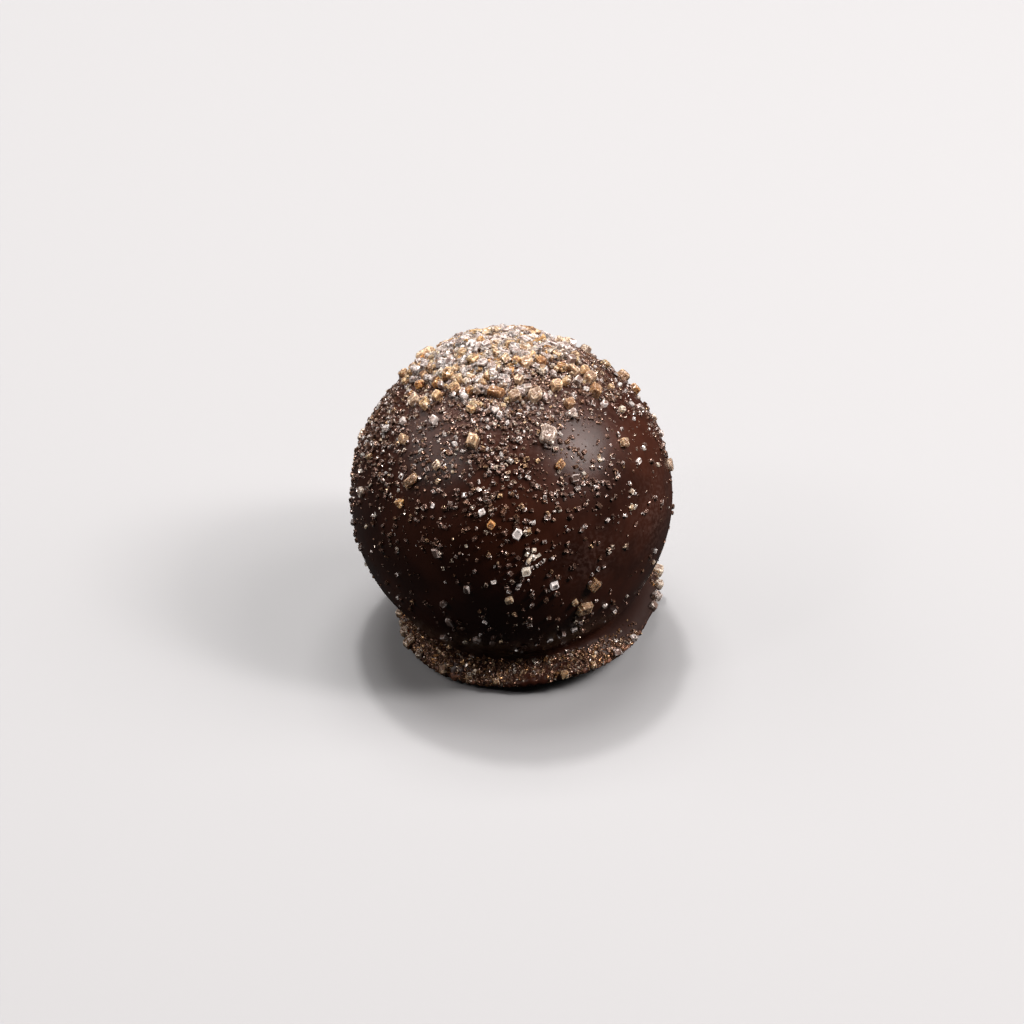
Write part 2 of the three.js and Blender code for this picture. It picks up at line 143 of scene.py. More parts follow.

# The coarse crystals that stand out singly on the ball, as azimuth, latitude, length, width and
# twist, with the colour of each from 0, clear, to 1, amber, and how much brighter it is, which
# moves how much of it is painted lit. Lengths and widths of single crystals are in millimetres.
SINGLE_CRYSTALS = (
    (141, 48, 1.75, 1.4, 10, 0.45, 0.1), (125, 50, 1, 0.85, 40, 0.35, 0.15),
    (120, 57, 0.95, 0.85, 15, 0.45, 0.15), (149, 69, 1.1, 0.95, 20, 0.15, 0.2),
    (139, 73, 1.25, 1, 60, 0.7, 0.1), (183, 72, 1.4, 0.85, 35, 0.6, 0.1),
    (172, 80, 0.8, 0.7, 10, 0, 0.3), (111, 82, 1.15, 0.95, 30, 0.85, 0.1),
    (174, 85, 0.8, 0.75, 50, 0.35, 0.2), (62, 82, 1.35, 1.15, 15, 0.25, 0.2),
    (338, 85, 1.3, 1.15, 45, 0.45, 0.05), (268, 84, 0.7, 0.5, 80, 0.9, -0.1),
    (1, 80, 0.9, 0.8, 25, 0.85, -0.5), (48, 69, 1.5, 0.65, -35, 0, 0.2),
    (18, 68, 0.9, 0.75, 30, 0.1, -0.4), (24, 73, 0.8, 0.7, 60, 0.5, -0.1),
    (355, 74, 0.9, 0.45, 60, 0.5, 0), (6, 64, 0.9, 0.8, 20, 0.55, 0),
    (359, 62, 1.2, 0.95, 50, 0.45, -0.4), (347, 66, 0.9, 0.75, 70, 0.1, 0.1),
    (348, 59, 1.2, 1.05, 80, 0.75, -0.6), (325, 71, 1, 0.9, 25, 0.5, 0),
    (295, 71, 1.3, 1.1, 35, 0.4, -0.3), (291, 75, 0.8, 0.65, 10, 0.1, 0.2),
    (273, 72, 1.15, 1, 20, 0.45, -0.4), (320, 63, 0.95, 0.85, 40, 0.7, -0.5),
    (304, 69, 0.85, 0.5, 75, 0, -0.1), (262, 78, 0.7, 0.6, 25, 0, 0.1),
    (251, 73, 1.5, 0.9, -28, 0.85, -0.6), (213, 72, 0.7, 0.6, 20, 0, 0.3),
    (219, 68, 0.65, 0.55, 50, 0, 0.3), (203, 61, 0.9, 0.8, 40, 0.6, -0.05),
    (195, 64, 0.6, 0.55, 70, 0.05, 0.2), (192, 53, 1, 0.85, 20, 0.4, 0),
    (217, 54, 0.75, 0.65, 45, 0.05, 0.2), (199, 46, 0.6, 0.55, 10, 0.05, 0.3),
    (82, 58, 1.2, 1, 45, 0.3, -0.5), (75, 56, 0.75, 0.65, 20, 0.5, 0),
    (60, 54, 0.65, 0.6, 30, 0.5, 0), (55, 51, 0.75, 0.65, 60, 0.5, 0),
    (48, 48, 1.15, 0.9, 50, 0.3, -0.4), (31, 38, 1.4, 1.2, 70, 0.5, -0.3),
    (25, 34, 1.05, 0.95, 30, 0.8, -0.4), (2, 53, 0.6, 0.5, 20, 0.5, -0.1),
    (343, 54, 0.65, 0.5, 30, 0, 0.5), (350, 47, 0.7, 0.6, 15, 0.3, 0.1),
    (6, 38, 0.65, 0.5, 30, 0.05, 0), (256, 66, 0.65, 0.55, 30, 0.05, 0.3),
    (260, 64, 0.6, 0.5, 60, 0, 0.3), (247, 53, 1.2, 1, 65, 0.5, -0.1),
    (292, 55, 1.6, 1.3, 75, 0.15, -0.35), (294, 44, 0.85, 0.75, 55, 0.8, -0.5),
    (233, 41, 0.8, 0.65, 30, 0.4, -0.1), (208, 42, 0.9, 0.85, 40, 0.5, -0.3),
    (333, 40, 0.9, 0.85, 25, 0.5, -0.3), (299, 38, 0.75, 0.7, 20, 0, -0.3),
    (224, 32, 1.4, 0.75, 15, 0.5, -0.5), (335, 31, 0.6, 0.5, 60, 0, 0.5),
    (258, 29, 0.6, 0.55, 20, 0, 0.4), (262, 25, 0.75, 0.7, 45, 0.95, 0.2),
    (17, 24, 0.7, 0.6, 20, 0.2, -0.3), (7, 23, 0.75, 0.65, 70, 0.05, 0),
    (272, 22, 0.95, 0.75, 60, 0, 0.7), (168, 19, 1.3, 0.7, 60, 0.3, -0.2),
    (198, 14, 0.8, 0.65, 20, 0.15, 0), (1, 13, 1.2, 0.7, 85, 0.35, -0.3),
    (170, 12, 0.65, 0.55, 40, 0.05, 0), (242, 11, 0.9, 0.6, 85, 0, -0.2),
    (275, 8, 0.8, 0.7, 15, 0.2, 0.9), (285, 1, 0.8, 0.65, 30, 0, 0.7),
    (254, -1, 0.7, 0.5, 80, 0.05, 0), (300, -3, 1.15, 0.95, 75, 0.6, -0.4),
    (269, -4, 0.7, 0.6, 20, 0.45, 0), (293, -9, 0.6, 0.55, 50, 0.5, 0.2),
    (245, -10, 0.7, 0.55, 20, 0, -0.2), (297, -13, 1.3, 1.1, 20, 0.5, -0.3),
    (246, -20, 0.9, 0.55, 80, 0, -0.2), (295, -25, 0.6, 0.5, 40, 0, 0.3),
    (290, -27, 0.8, 0.65, 70, 0, 0), (256, -28, 0.8, 0.7, 30, 0.05, -0.1),
    (262, -30, 0.6, 0.5, 60, 0, -0.2), (240, -34, 1, 0.7, 10, 0, -0.2),
)

# Small grains that catch the eye on the front and at the sides, as azimuth, latitude, length,
# colour and brightness, which moves how much of each is painted lit.
FINE_SINGLES = (
    (261.5, 30, 0.5, 0.3, 0.2), (259, 34, 0.55, 0, 0.1), (249.5, 34, 0.5, 0, 0.3),
    (246, 35, 0.5, 0, 0.3), (252, 35, 0.45, 0, 0.2), (254, 30, 0.5, 0.2, 0),
    (247, 29, 0.45, 0.1, 0), (238, 33, 0.5, 0.1, 0.1), (231, 24, 0.45, 0.2, 0),
    (234, 22, 0.4, 0.2, -0.1), (236, 11, 0.5, 0.4, -0.2), (251, 13, 0.35, 0.2, 0),
    (261, 2, 0.5, 0.2, 0), (270, 4, 0.5, 0.2, -0.1), (269, 0, 0.5, 0, 0.4), (287, 4, 0.4, 0, 0.1),
    (277, -7, 0.5, 0, 0.3), (277, -2, 0.5, 0.1, -0.1), (282, -5, 0.5, 0.4, -0.2),
    (271, -11, 0.5, 0.5, 0.1), (303, 7, 0.5, 0.4, -0.2), (307, 9, 0.5, 0.3, 0.1),
    (315, 6, 0.35, 0.1, 0), (303, 13, 0.35, 0.1, 0), (317, 18, 0.45, 0, 0.5),
    (313, 26, 0.4, 0.1, 0), (284, 34, 0.4, 0, 0.4), (278, 30, 0.4, 0.1, 0), (277, 26, 0.4, 0, 0.3),
    (282, 18.6, 0.45, 0, 0.2), (287, 28.5, 0.35, 0, 0.2), (284, 27, 0.6, 0, 0.1),
    (260, -16, 0.45, 0, 0.4), (275, -15, 0.5, 0, 0.2), (276.5, -17.5, 0.5, 0, 0.2),
    (287, -16, 0.45, 0.2, -0.1), (275.5, 14.5, 0.6, 0.3, 0.9), (277.5, 13.2, 0.6, 0.15, 0.9),
    (278, 15.8, 0.5, 0.3, 0.9), (276, 12.2, 0.55, 0.4, 0.9), (279.5, 13.8, 0.5, 0.2, 0.9),
    (277, 9, 0.45, 0, 0.3), (278.7, 9.8, 0.4, 0, 0.4), (280.3, 10.6, 0.4, 0, 0.3),
    (281.5, 11.5, 0.4, 0.1, 0.3), (302, 3, 0.4, 0, 0.4), (304.5, 3, 0.4, 0, 0.4),
    (299.5, 1.5, 0.35, 0, 0.3), (291.5, 21, 0.35, 0, 0.2), (279, 19.3, 0.5, 0.1, -0.2),
    (265, 11, 0.4, 0.5, 0.1), (266.6, 30, 0.6, 0.9, -0.3), (293, 39, 0.5, 0.4, 0.1),
    (317, 40, 0.4, 0, 0.2), (172.5, 9, 0.5, 0.1, 0.1), (175, 6, 0.5, 0, 0), (195, 25, 0.5, 0.3, 0),
    (163, 23, 0.5, 0.1, 0), (2, 21, 0.5, 0.1, 0), (355, 10, 0.4, 0.2, -0.1), (1, 17, 0.4, 0, 0.1),
)
FINE_SINGLE_SHARE = 0.85

# Those that stick out singly from the lip, as azimuth, length, width, twist, colour and brightness.
LIP_CRYSTALS = (
    (14, 1.3, 1.05, 0, 0.3, 0.3), (5, 0.9, 0.8, 30, 0.2, 0.1), (352, 0.8, 0.7, 75, 0.1, 0),
    (189, 0.9, 0.75, 60, 0.4, -0.1), (197, 0.7, 0.6, 20, 0.3, 0), (204, 0.9, 0.75, 80, 0.35, -0.1),
    (212, 1.2, 0.85, 35, 0.4, -0.2), (222, 0.8, 0.65, 65, 0.3, -0.2),
)
LIP_CRYSTAL_LEAN = 10
SINGLE_HEIGHT_SHARE = 0.85

# The places of the rest of the coarse sugar: a spiral round the ball, and a ring along the lip.
SPIRAL_PLACES = 2600
CROWN_DENSITY = 0.97
CROWN_SPREAD = 24
SHOULDER_DENSITY = 0.05
SHOULDER_SPREAD = 30
STRAY_DENSITY = 0.001
STREWN_SHARES = (0.65, 0.95)
STREWN_LEAN = 24
CLEAR_OF_SINGLES = 0.95 * MM
CLEAR_OF_COLLAR = 1 * MM
SUNK_SHARE = 0.4
LIP_PLACES = 22
LIP_LENGTHS = (0.55 * MM, 0.85 * MM)

# Of the coarse sugar, the share that is golden far from the crown, what is added on it, and the
# spread of that. A single crystal is golden if its colour is past a limit.
GOLDEN_SHARES = (0.15, 0.75)
GOLDEN_SPREAD = 50
GOLDEN_TINT = 0.12

# Shares of a turn that never come back to where they started.
GOLDEN_TURN = (3 - np.sqrt(5)) / 2
SECOND_TURN = 0.7548776662466927
THIRD_TURN = 0.5698402909980532

# Where fine sugar lies. Its cover falls off from the top by a bell whose spread changes round the
# ball: rows are azimuth, spread to either side, and degrees that are added to FINE_SPREAD.
FINE_COVER = 0.64
FINE_SPREAD = 38
FINE_SPREAD_SWELLS = ((265, 22, 6), (195, 38, 17), (325, 24, -8), (90, 50, 3))
FINE_CROWN_COVER = 0.95
FINE_CROWN_SPREAD = 30
FINE_STRAY_COVER = 0.013
# Drifts of it lower down, as azimuth, latitude, spread across, spread up, and cover.
FINE_DRIFTS = (
    (254, 27, 9, 6, 0.12), (273, 2, 9, 22, 0.05), (8, 25, 10, 14, 0.12),
    (306, 36, 16, 16, 0.2), (170, 20, 14, 18, 0.35), (268, -28, 30, 12, 0.04),
)
# The area of one grain, the most layers of them, how far they are sunk, the most cover that is
# asked for, and how far above the collar they start.
FINE_GRAIN_AREA = 0.085 * MM**2
FINE_LAYERS = 4.5
FINE_SUNK = 0.35
FINE_MOST_COVER = 0.985
FINE_CLEAR_OF_COLLAR = 0.2 * MM
# Its patches, as rows of noise size, seed and how much, and their least and most.
FINE_PATCHES = ((3 * MM, 31, 0.5), (1.2 * MM, 32, 0.6))
FINE_PATCH_LIMITS = (0.1, 2)
# Past this cover the grains lie on each other, up to this height on the thickest.
PILED_FROM = 0.75
PILED_OVER = 0.2
PILE_HEIGHT = 0.75 * MM
# The share of white grains where the cover is least and where it is full.
WHITE_SHARES = (0.05, 0.22)

# The dust: how many draws, above which share of the radius, the chance of each at full cover, its
# patches, how far it stays from the crown, and its lengths.
DUST_TRIES = 90000
DUST_LOWEST = -0.75
DUST_CHANCE = 0.35
DUST_PATCHES = ((2 * MM, 41, 0.6),)
DUST_FROM_CROWN = 25
DUST_LENGTHS = (0.08 * MM, 0.18 * MM)

# How much of the fine sugar stays in the foot, with the sides where it is more or less, and the
# patches that it lies in.
FOOT_COVER = 0.85
FOOT_COVER_SWELLS = ((338, 20, -0.6), (5, 22, -0.5), (245, 30, 0.15))
FOOT_PATCHES = ((1.6 * MM, 51, 0.9),)
# The grains and crumbs in the cove and the crumbs on the lip: how many draws, their shortest and
# longest, the power that leans them to the lower edge, and how far up they reach. They reach a
# lower share of that where the foot is bare.
COVE_GRAINS = (1300, (0.25 * MM, 0.5 * MM), 1.6, 0.65)
COVE_CRUMBS = (4500, (0.15 * MM, 0.38 * MM), 1.8, 0.65)
LIP_CRUMBS = (2200, (0.12 * MM, 0.34 * MM), 1.0, 0.9)
BARE_REACH = 0.6
FOOT_TINT_POWER = 0.8

# A crystal's form: the corners of its cut outline and, as shares of its smaller side or of its
# height, the bevel of its edges, the rim and swell of its top, and its taper. Small ones are more
# rugged, and tumble by this angle. So many chips are stuck to each crystal of the crown.
CUT_CORNERS = 6
EDGE_BEVEL = 0.06
TOP_RIM = 0.07
TOP_SWELL = 0.02
MOST_TAPER = 0.2
SMALL_RUGGED = 0.2
TUMBLE = 40
CHIPS = 3
# How far apart, in millimetres, the patterns of two crystals are taken from the same noise.
PATTERN_RANGE = 50
# Widths and heights of small ones are drawn between two shares of their lengths, and fine ones
# are flatter. Powers make short ones and pale ones the more common, up to the darkest tint.
GRAIN_SHARES = (0.6, 0.95)
FLATTER_SHARES = (0.55, 0.9)
LENGTH_POWER = 1.3
TINT_POWER = 3
MOST_TINT = 0.7

# How brightly a crystal's sides are painted, as painted light that lights the sides more than the
# ends and paints glints, for each number of rings that it is made of, from its lowest band of
# facets to its highest, how far each is moved, what a bevelled edge adds as a painted highlight,
# and how bright an end may be painted.
PAINTED_SIDE_LIGHT = {2: (0.65,), 3: (0.65, 0.9), 5: (0.4, 0.65, 0.9, 0.85)}
SIDE_RANGE = 0.35
PAINTED_BEVEL_HIGHLIGHT = 0.3
END_RANGE = 0.6

# The sugar's finishes: how far light scatters inside, the share of the crystal's own colour that
# its painted shade keeps, the sizes of clouds, streaks and small faces, how much clouds, streaks
# and the tilt of the faces count, the values between which painted shade turns to painted light,
# and the metallic glint.
FINE_FACES = (0.3 * MM, 0.1 * MM, 0.1 * MM)
FINISHES = {
    "golden_sugar": (
        0.5 * MM, 0.3, (0.4 * MM, 0.12 * MM, 0.17 * MM), (1.4, 4.4, 1.1), (0.25, 1.05), 0.08,
    ),
    "clear_coarse_sugar": (
        0, 0.15, (0.6 * MM, 0.25 * MM, 0.5 * MM), (1.4, 2.6, 0.9), (0.45, 1.15), 0.12,
    ),
    "cloudy_fine_sugar": (0.8 * MM, 0.4, FINE_FACES, (0.8, 2.4, 1.4), (0.1, 0.9), 0),
    "clear_fine_sugar": (0, 0.06, FINE_FACES, (0.8, 1.5, 1.4), (0.88, 1.15), 0.4),
    "foot_sugar": (0, 0.06, FINE_FACES, (0.8, 1.5, 1.4), (0.7, 1.05), 0.5),
}
# Painted glints: the brightest painted places glow in the crystal's colour, though they are no
# lamp.
PAINTED_GLINT_LEVELS = (1.1, 1.7)
PAINTED_GLINT_STRENGTH = 0.45
SUGAR_ROUGHNESS = (0.1, 0.35)
SUGAR_IOR = 1.54

# The lights, as rows of name, azimuth, elevation, width and height, the setting of their power,
# their share of it, and their colour.
WARM = (1.0, 0.91, 0.87)
PALE = (1.0, 0.93, 0.89)
LIGHTS = (
    ("key_light", 0, 46, (0.36, 0.36), "key_power", 1, WARM),
    ("key_lamp", 347, 45, (0.09, 0.14), "key_power", 0.6, WARM),
    ("fill_light", 170, 36, (0.5, 0.3), "fill_power", 1, WARM),
    ("fill_lamp", 207, 42, (0.08, 0.1), "fill_power", 0.3, WARM),
    ("top_light", 95, 68, (0.34, 0.3), "top_power", 1, PALE),
    ("top_lamp", 100, 66, (0.05, 0.05), "top_power", 0.5, PALE),
)
LIGHT_DISTANCE = 0.6
# The sky's strength where it lights the truffle and where the camera sees it.
SKY_COLOUR = (0.95, 0.9, 0.88)
SKY_STRENGTHS = (0.015, 0.8)
FLOOR_RADIUS = 4.0
FLOOR_CORNERS = 64
FLOOR_DROP = 0.01 * MM
FLOOR_FINISH = {"Roughness": 0.7, "Specular IOR Level": 0.2}
CAMERA_LENS = 200.8
CAMERA_NEAREST = 0.01
CAMERA_AIM_DROP = 1.4 * MM


# ---------- Settings ----------


class TruffleCoatingSettings(bpy.types.PropertyGroup):
    """The chocolate coating: ball, collar and foot."""

    ball_radius: FloatProperty(
        name="Ball radius", description="Radius of the dipped ball", default=14 * MM, unit="LENGTH"
    )
    centre_height: FloatProperty(
        name="Centre height", description="Height of the middle of the ball above the table",
        default=12.95 * MM, unit="LENGTH",
    )
    lip_reach: FloatProperty(
        name="Lip reach", description="How far the lip of the foot reaches from the axis",
        default=11.4 * MM, unit="LENGTH",
    )
    lip_height: FloatProperty(
        name="Lip height", description="How high the lip of the foot hangs above the table",
        default=0.95 * MM, unit="LENGTH",
    )
    lip_thickness: FloatProperty(
        name="Lip thickness", description="Thickness of the lip", default=0.5 * MM, unit="LENGTH"
    )
    collar_height: FloatProperty(
        name="Collar height", description="Height at which the collar leaves the ball",
        default=4.6 * MM, unit="LENGTH",
    )
    dark: FloatVectorProperty(
        name="Dark chocolate", description="Colour of the coating",
        default=(0.024, 0.0062, 0.003), subtype="COLOR",
    )
    # The colour painted in the warm patches and in the marbling.
    warm: FloatVectorProperty(
        name="Warm chocolate", description="Colour of the coating where it is thin",
        default=(0.052, 0.0135, 0.0062), subtype="COLOR",
    )
    torn: FloatVectorProperty(
        name="Torn edge", description="Colour of the lip's torn edge",
        default=(0.42, 0.2, 0.13), subtype="COLOR",
    )
    # Colour of the sugar dust, also used as painted light between the crystals of the crown.
    dust_and_painted_light: FloatVectorProperty(
        name="Dust", description="Colour of the dust of sugar on the coating",
        default=(0.2, 0.12, 0.1), subtype="COLOR",
    )
    roughness: FloatProperty(
        name="Roughness", description="Roughness of the coating",
        default=0.34, min=0, max=1, subtype="FACTOR",
    )


class TruffleSugarSettings(bpy.types.PropertyGroup):
    """The sugar on the truffle."""

    coarse_shortest: FloatProperty(
        name="Coarse, shortest", description="Shortest coarse crystal strewn on the ball",
        default=0.8 * MM, unit="LENGTH",
    )
    coarse_longest: FloatProperty(
        name="Coarse, longest", description="Longest coarse crystal strewn on the ball",
        default=1.3 * MM, unit="LENGTH",
    )
    fine_shortest: FloatProperty(
        name="Fine, shortest", description="Length of the shortest fine crystal",
        default=0.17 * MM, unit="LENGTH",
    )
    fine_longest: FloatProperty(
        name="Fine, longest", description="Length of the longest fine crystal",
        default=0.5 * MM, unit="LENGTH",
    )
    pale: FloatVectorProperty(
        name="Pale sugar", description="Colour of the palest coarse crystals",
        default=(0.8, 0.7, 0.58), subtype="COLOR",
    )
    golden: FloatVectorProperty(
        name="Golden sugar", description="Colour of the golden crystals",
        default=(0.76, 0.52, 0.3), subtype="COLOR",
    )
    amber: FloatVectorProperty(
        name="Amber sugar", description="Colour of the darkest coarse crystals",
        default=(0.66, 0.34, 0.13), subtype="COLOR",
    )
    clear: FloatVectorProperty(
        name="Clear sugar", description="Colour of the fine crystals",
        default=(0.84, 0.77, 0.74), subtype="COLOR",
    )
    # Painted shade on the sugar: facets painted in this dark colour, through which the chocolate
    # also shows.
    shaded: FloatVectorProperty(
        name="Shaded facets", description="Colour of facets through which the chocolate shows",
        default=(0.15, 0.07, 0.045), subtype="COLOR",
    )
    seed: IntProperty(name="Seed", description="Starts the draw of the fine crystals", default=7)


class TruffleStageSettings(bpy.types.PropertyGroup):
    """The floor, the lights and the camera."""

    floor: FloatVectorProperty(
        name="Floor", description="Colour of the floor", default=(0.42, 0.44, 0.46), subtype="COLOR"
    )
    floor_bounce: FloatProperty(
        name="Floor bounce", description="Share of the floor's brightness that reaches the truffle",
        default=0.03, min=0, max=1, subtype="FACTOR",
    )
    key_power: FloatProperty(
        name="Key light", description="Power of the light on the right", default=2.45, unit="POWER"
    )
    fill_power: FloatProperty(
        name="Fill light", description="Power of the light on the left", default=1.0, unit="POWER"
    )
    top_power: FloatProperty(
        name="Top light", description="Power of the light above and behind",
        default=3.05, unit="POWER",
    )
    elevation: FloatProperty(
        name="Camera elevation", description="Angle of the camera above the table",
        default=np.radians(35.5), subtype="ANGLE",
    )
    distance: FloatProperty(
        name="Camera distance", description="From the camera to the middle of the ball",
        default=0.5, unit="LENGTH",
    )


# ---------- The truffle's form ----------


def fraction(value):
    """The part of each number behind the point."""
    return value - np.floor(value)


def mix(low, high, share):
    """From low, share 0, to high, share 1."""
    return low + (high - low) * share


def directions(azimuth, latitude):
    """Unit vectors: cosine of latitude along the azimuth, and sine of latitude upwards."""
    azimuth, latitude = np.broadcast_arrays(np.radians(azimuth), np.radians(latitude))
    outward = np.cos(latitude)
    return np.stack((outward * np.cos(azimuth), outward * np.sin(azimuth), np.sin(latitude)), -1)


def degrees_from(normals, azimuth, latitude):
    """Angle between unit vectors and one direction, from the arc cosine of their dot product."""
    cosine = (normals * directions(azimuth, latitude)).sum(-1)
    return np.degrees(np.arccos(np.clip(cosine, -1, 1)))


def bell(normals, azimuth, latitude, spread, power=2):
    """From 1 in one direction to 0 far from it: e to the power of minus the angle between over
    the spread, raised to a power. The higher that is, the flatter the top."""
    return np.exp(-((degrees_from(normals, azimuth, latitude) / spread) ** power))


def turn_from(azimuth, middle):
    """The turn from one azimuth to others, from -180 to 180 degrees."""
    return (azimuth - middle + 180) % 360 - 180


def swollen(value, swells, azimuth):
    """The value plus, for each swell, what it adds times a bell of the turn from its azimuth."""
    total = np.full(np.shape(azimuth), float(value))
    for middle, spread, adds in swells:
        total += adds * np.exp(-0.5 * (turn_from(azimuth, middle) / spread) ** 2)
    return total


def roundness_at(azimuth):
    """One plus, for each row of OUT_OF_ROUND, its share times the sine of its lobes."""
    rows = ((share, np.radians(lobes * (azimuth - start))) for lobes, share, start in OUT_OF_ROUND)
    return sum((share * np.sin(angle) for share, angle in rows), 1.0)


def crust_at(normals):
    """Crust thickness: a flat-topped bell of the angle from the crown."""
    return CRUST_THICKNESS * bell(normals, *CROWN, CRUST_SPREAD, FLAT_TOP)


def foot_at(azimuth):
    """The foot at each azimuth: the lip's reach and height, and the collar's height."""
    coating = bpy.context.scene.truffle_coating
    return (
        swollen(coating.lip_reach, LIP_REACH_SWELLS, azimuth),
        swollen(coating.lip_height, LIP_HEIGHT_SWELLS, azimuth),
        swollen(coating.collar_height, COLLAR_HEIGHT_SWELLS, azimuth),
    )


def ball_start(azimuth):
    """Angle at which the ball starts: the arc sine of the collar's height over the radius."""
    coating = bpy.context.scene.truffle_coating
    return np.arcsin((foot_at(azimuth)[2] - coating.centre_height) / coating.ball_radius)


def on_ball(azimuth, share):
    """Radius and height on the ball: a circle from the collar, share 0, to the top, share 1."""
    coating = bpy.context.scene.truffle_coating
    angle = mix(ball_start(azimuth), np.pi / 2, share)
    radius = coating.ball_radius * np.cos(angle)
    return radius, coating.centre_height + coating.ball_radius * np.sin(angle)


def on_lip(azimuth, share):
    """Radius and height on the lip: an arc from straight down, share 0, to its upper side."""
    reach, height, _ = foot_at(azimuth)
    half = bpy.context.scene.truffle_coating.lip_thickness / 2
    angle = mix(-np.pi / 2, np.radians(90 - LIP_DROOP), share)
    return reach - half + half * np.cos(angle), height + half + half * np.sin(angle)


def bezier(share, *values):
    """A Bezier curve: each value weighted by its term of 1 - share plus share to a power."""
    last = len(values) - 1
    return sum(
        comb(last, place) * (1 - share) ** (last - place) * share**place * value
        for place, value in enumerate(values)
    )


def on_cove(azimuth, share):
    """Radius and height on the collar's cove: a cubic Bezier curve from the lip's upper side,
    share 0, where it follows the lip's slope, to the foot of the ball, where it follows the ball.
    """
    start = ball_start(azimuth)
    slope = np.radians(LIP_DROOP)
    radius, height = on_lip(azimuth, 1.0)
    far, high = on_ball(azimuth, 0.0)
    pull = COVE_PULL * np.hypot(radius - far, height - high)
    return (
        bezier(share, radius, radius - pull * np.cos(slope), far + pull * np.sin(start), far),
        bezier(share, height, height + pull * np.sin(slope), high - pull * np.cos(start), high),
    )


def on_undercut(azimuth, share):
    """Radius and height under the lip: a quadratic Bezier curve from the edge of the flat
    underside, share 0, to the bottom of the lip."""
    reach, height, _ = foot_at(azimuth)
    edge = reach - UNDERCUT_START - UNDERCUT_SPREAD * height
    radius, height = on_lip(azimuth, 0.0)
    return (
        bezier(share, edge, edge + UNDERCUT_ARCH[0], radius),
        bezier(share, 0.0, UNDERCUT_ARCH[1], height),
    )


def placed(azimuth, radius, height):
    """Points at a radius, made out of round, and a height, on the side of an azimuth."""
    radius = radius * roundness_at(azimuth)
    azimuth = np.radians(azimuth)
    return np.stack(
        np.broadcast_arrays(radius * np.cos(azimuth), radius * np.sin(azimuth), height), -1
    )


def on_surface(curve, azimuth, share):
    """Points and outward normals at shares of one of the outline's curves. The normal is square
    to the curve's own slope, which comes from two points close together on it."""
    back, ahead = curve(azimuth, share - SLOPE_STEP), curve(azimuth, share + SLOPE_STEP)
    along_radius, along_height = ahead[0] - back[0], ahead[1] - back[1]
    size = np.hypot(along_radius, along_height)
    normals = directions(azimuth, 0.0) * (along_height / size)[..., None]
    normals[..., 2] = -along_radius / size
    return placed(azimuth, *curve(azimuth, share)), normals


def place_on_ball(azimuth, latitude):
    """Points on the ball's crust and their normals, which point away from its middle."""
    coating = bpy.context.scene.truffle_coating
    normals = directions(azimuth, latitude)
    points = normals * (coating.ball_radius + crust_at(normals))[..., None]
    points[..., :2] *= roundness_at(azimuth)[..., None]
    points[..., 2] += coating.centre_height
    return points, normals


def place_on_lip(azimuth):
    """Points on the edge of the lip, and normals that lean outwards by its slope."""
    reach, height, _ = foot_at(azimuth)
    thickness = bpy.context.scene.truffle_coating.lip_thickness
    return placed(azimuth, reach, height + thickness), directions(azimuth, 90.0 - LIP_DROOP)


# ---------- Noise ----------

# Large primes, the bits that are kept, the place where the noise starts, and the square of a
# lump's reach.
CELL_PRIMES = np.array((73856093, 19349663, 83492791), np.uint64)
SEED_PRIME = 2654435761
MIXING_PRIME = np.uint64(2246822519)
LOW_BITS = np.uint64(2**32 - 1)
NOISE_ORIGIN = 1000
LUMP_REACH = 0.5


def lattice_value(cell, seed):
    """A fixed value from 0 to 1 for each whole-numbered cell: the products of its place and the
    seed with large primes, put together, shifted and multiplied again."""
    products = cell.astype(np.int64).astype(np.uint64) * CELL_PRIMES
    mixed = np.bitwise_xor.reduce(products, -1) ^ np.uint64(seed * SEED_PRIME % 2**32)
    for _ in range(2):
        mixed = (mixed ^ (mixed >> np.uint64(15))) * MIXING_PRIME & LOW_BITS
    mixed ^= mixed >> np.uint64(13)
    return mixed.astype(float) / 2**32


def soft_noise(points, size, seed):
    """From -1 to 1: lattice values a size apart, blended smoothly between the eight corners."""
    scaled = points / size + NOISE_ORIGIN
    cell = np.floor(scaled)
    inside = scaled - cell
    inside = inside * inside * (3 - 2 * inside)
    total = np.zeros(points.shape[:-1])
    for corner in np.ndindex(2, 2, 2):
        corner = np.array(corner)
        weight = np.where(corner, inside, 1 - inside).prod(-1)
        total += weight * lattice_value(cell + corner, seed)
    return 2 * total - 1


def lumps(points, size, seed):
    """From 0 to 1: a round dome over one scattered point in each cell of a size, the highest of
    those of the neighbouring cells."""
    scaled = points / size + NOISE_ORIGIN
    cell = np.floor(scaled)
    nearest = np.full(points.shape[:-1], np.inf)
    for shift in np.ndindex(3, 3, 3):
        near = cell + np.array(shift) - 1
        middle = np.stack([lattice_value(near, seed + axis) for axis in range(3)], -1) + near
        nearest = np.minimum(nearest, ((scaled - middle) ** 2).sum(-1))
    return np.clip(1 - nearest / LUMP_REACH, 0, 1)


def layered(noise, rows, points):
    """The sum of a noise over rows of its size, its seed and how much it counts."""
    return sum(amount * noise(points, size, seed) for size, seed, amount in rows)


# ---------- Meshes and materials ----------


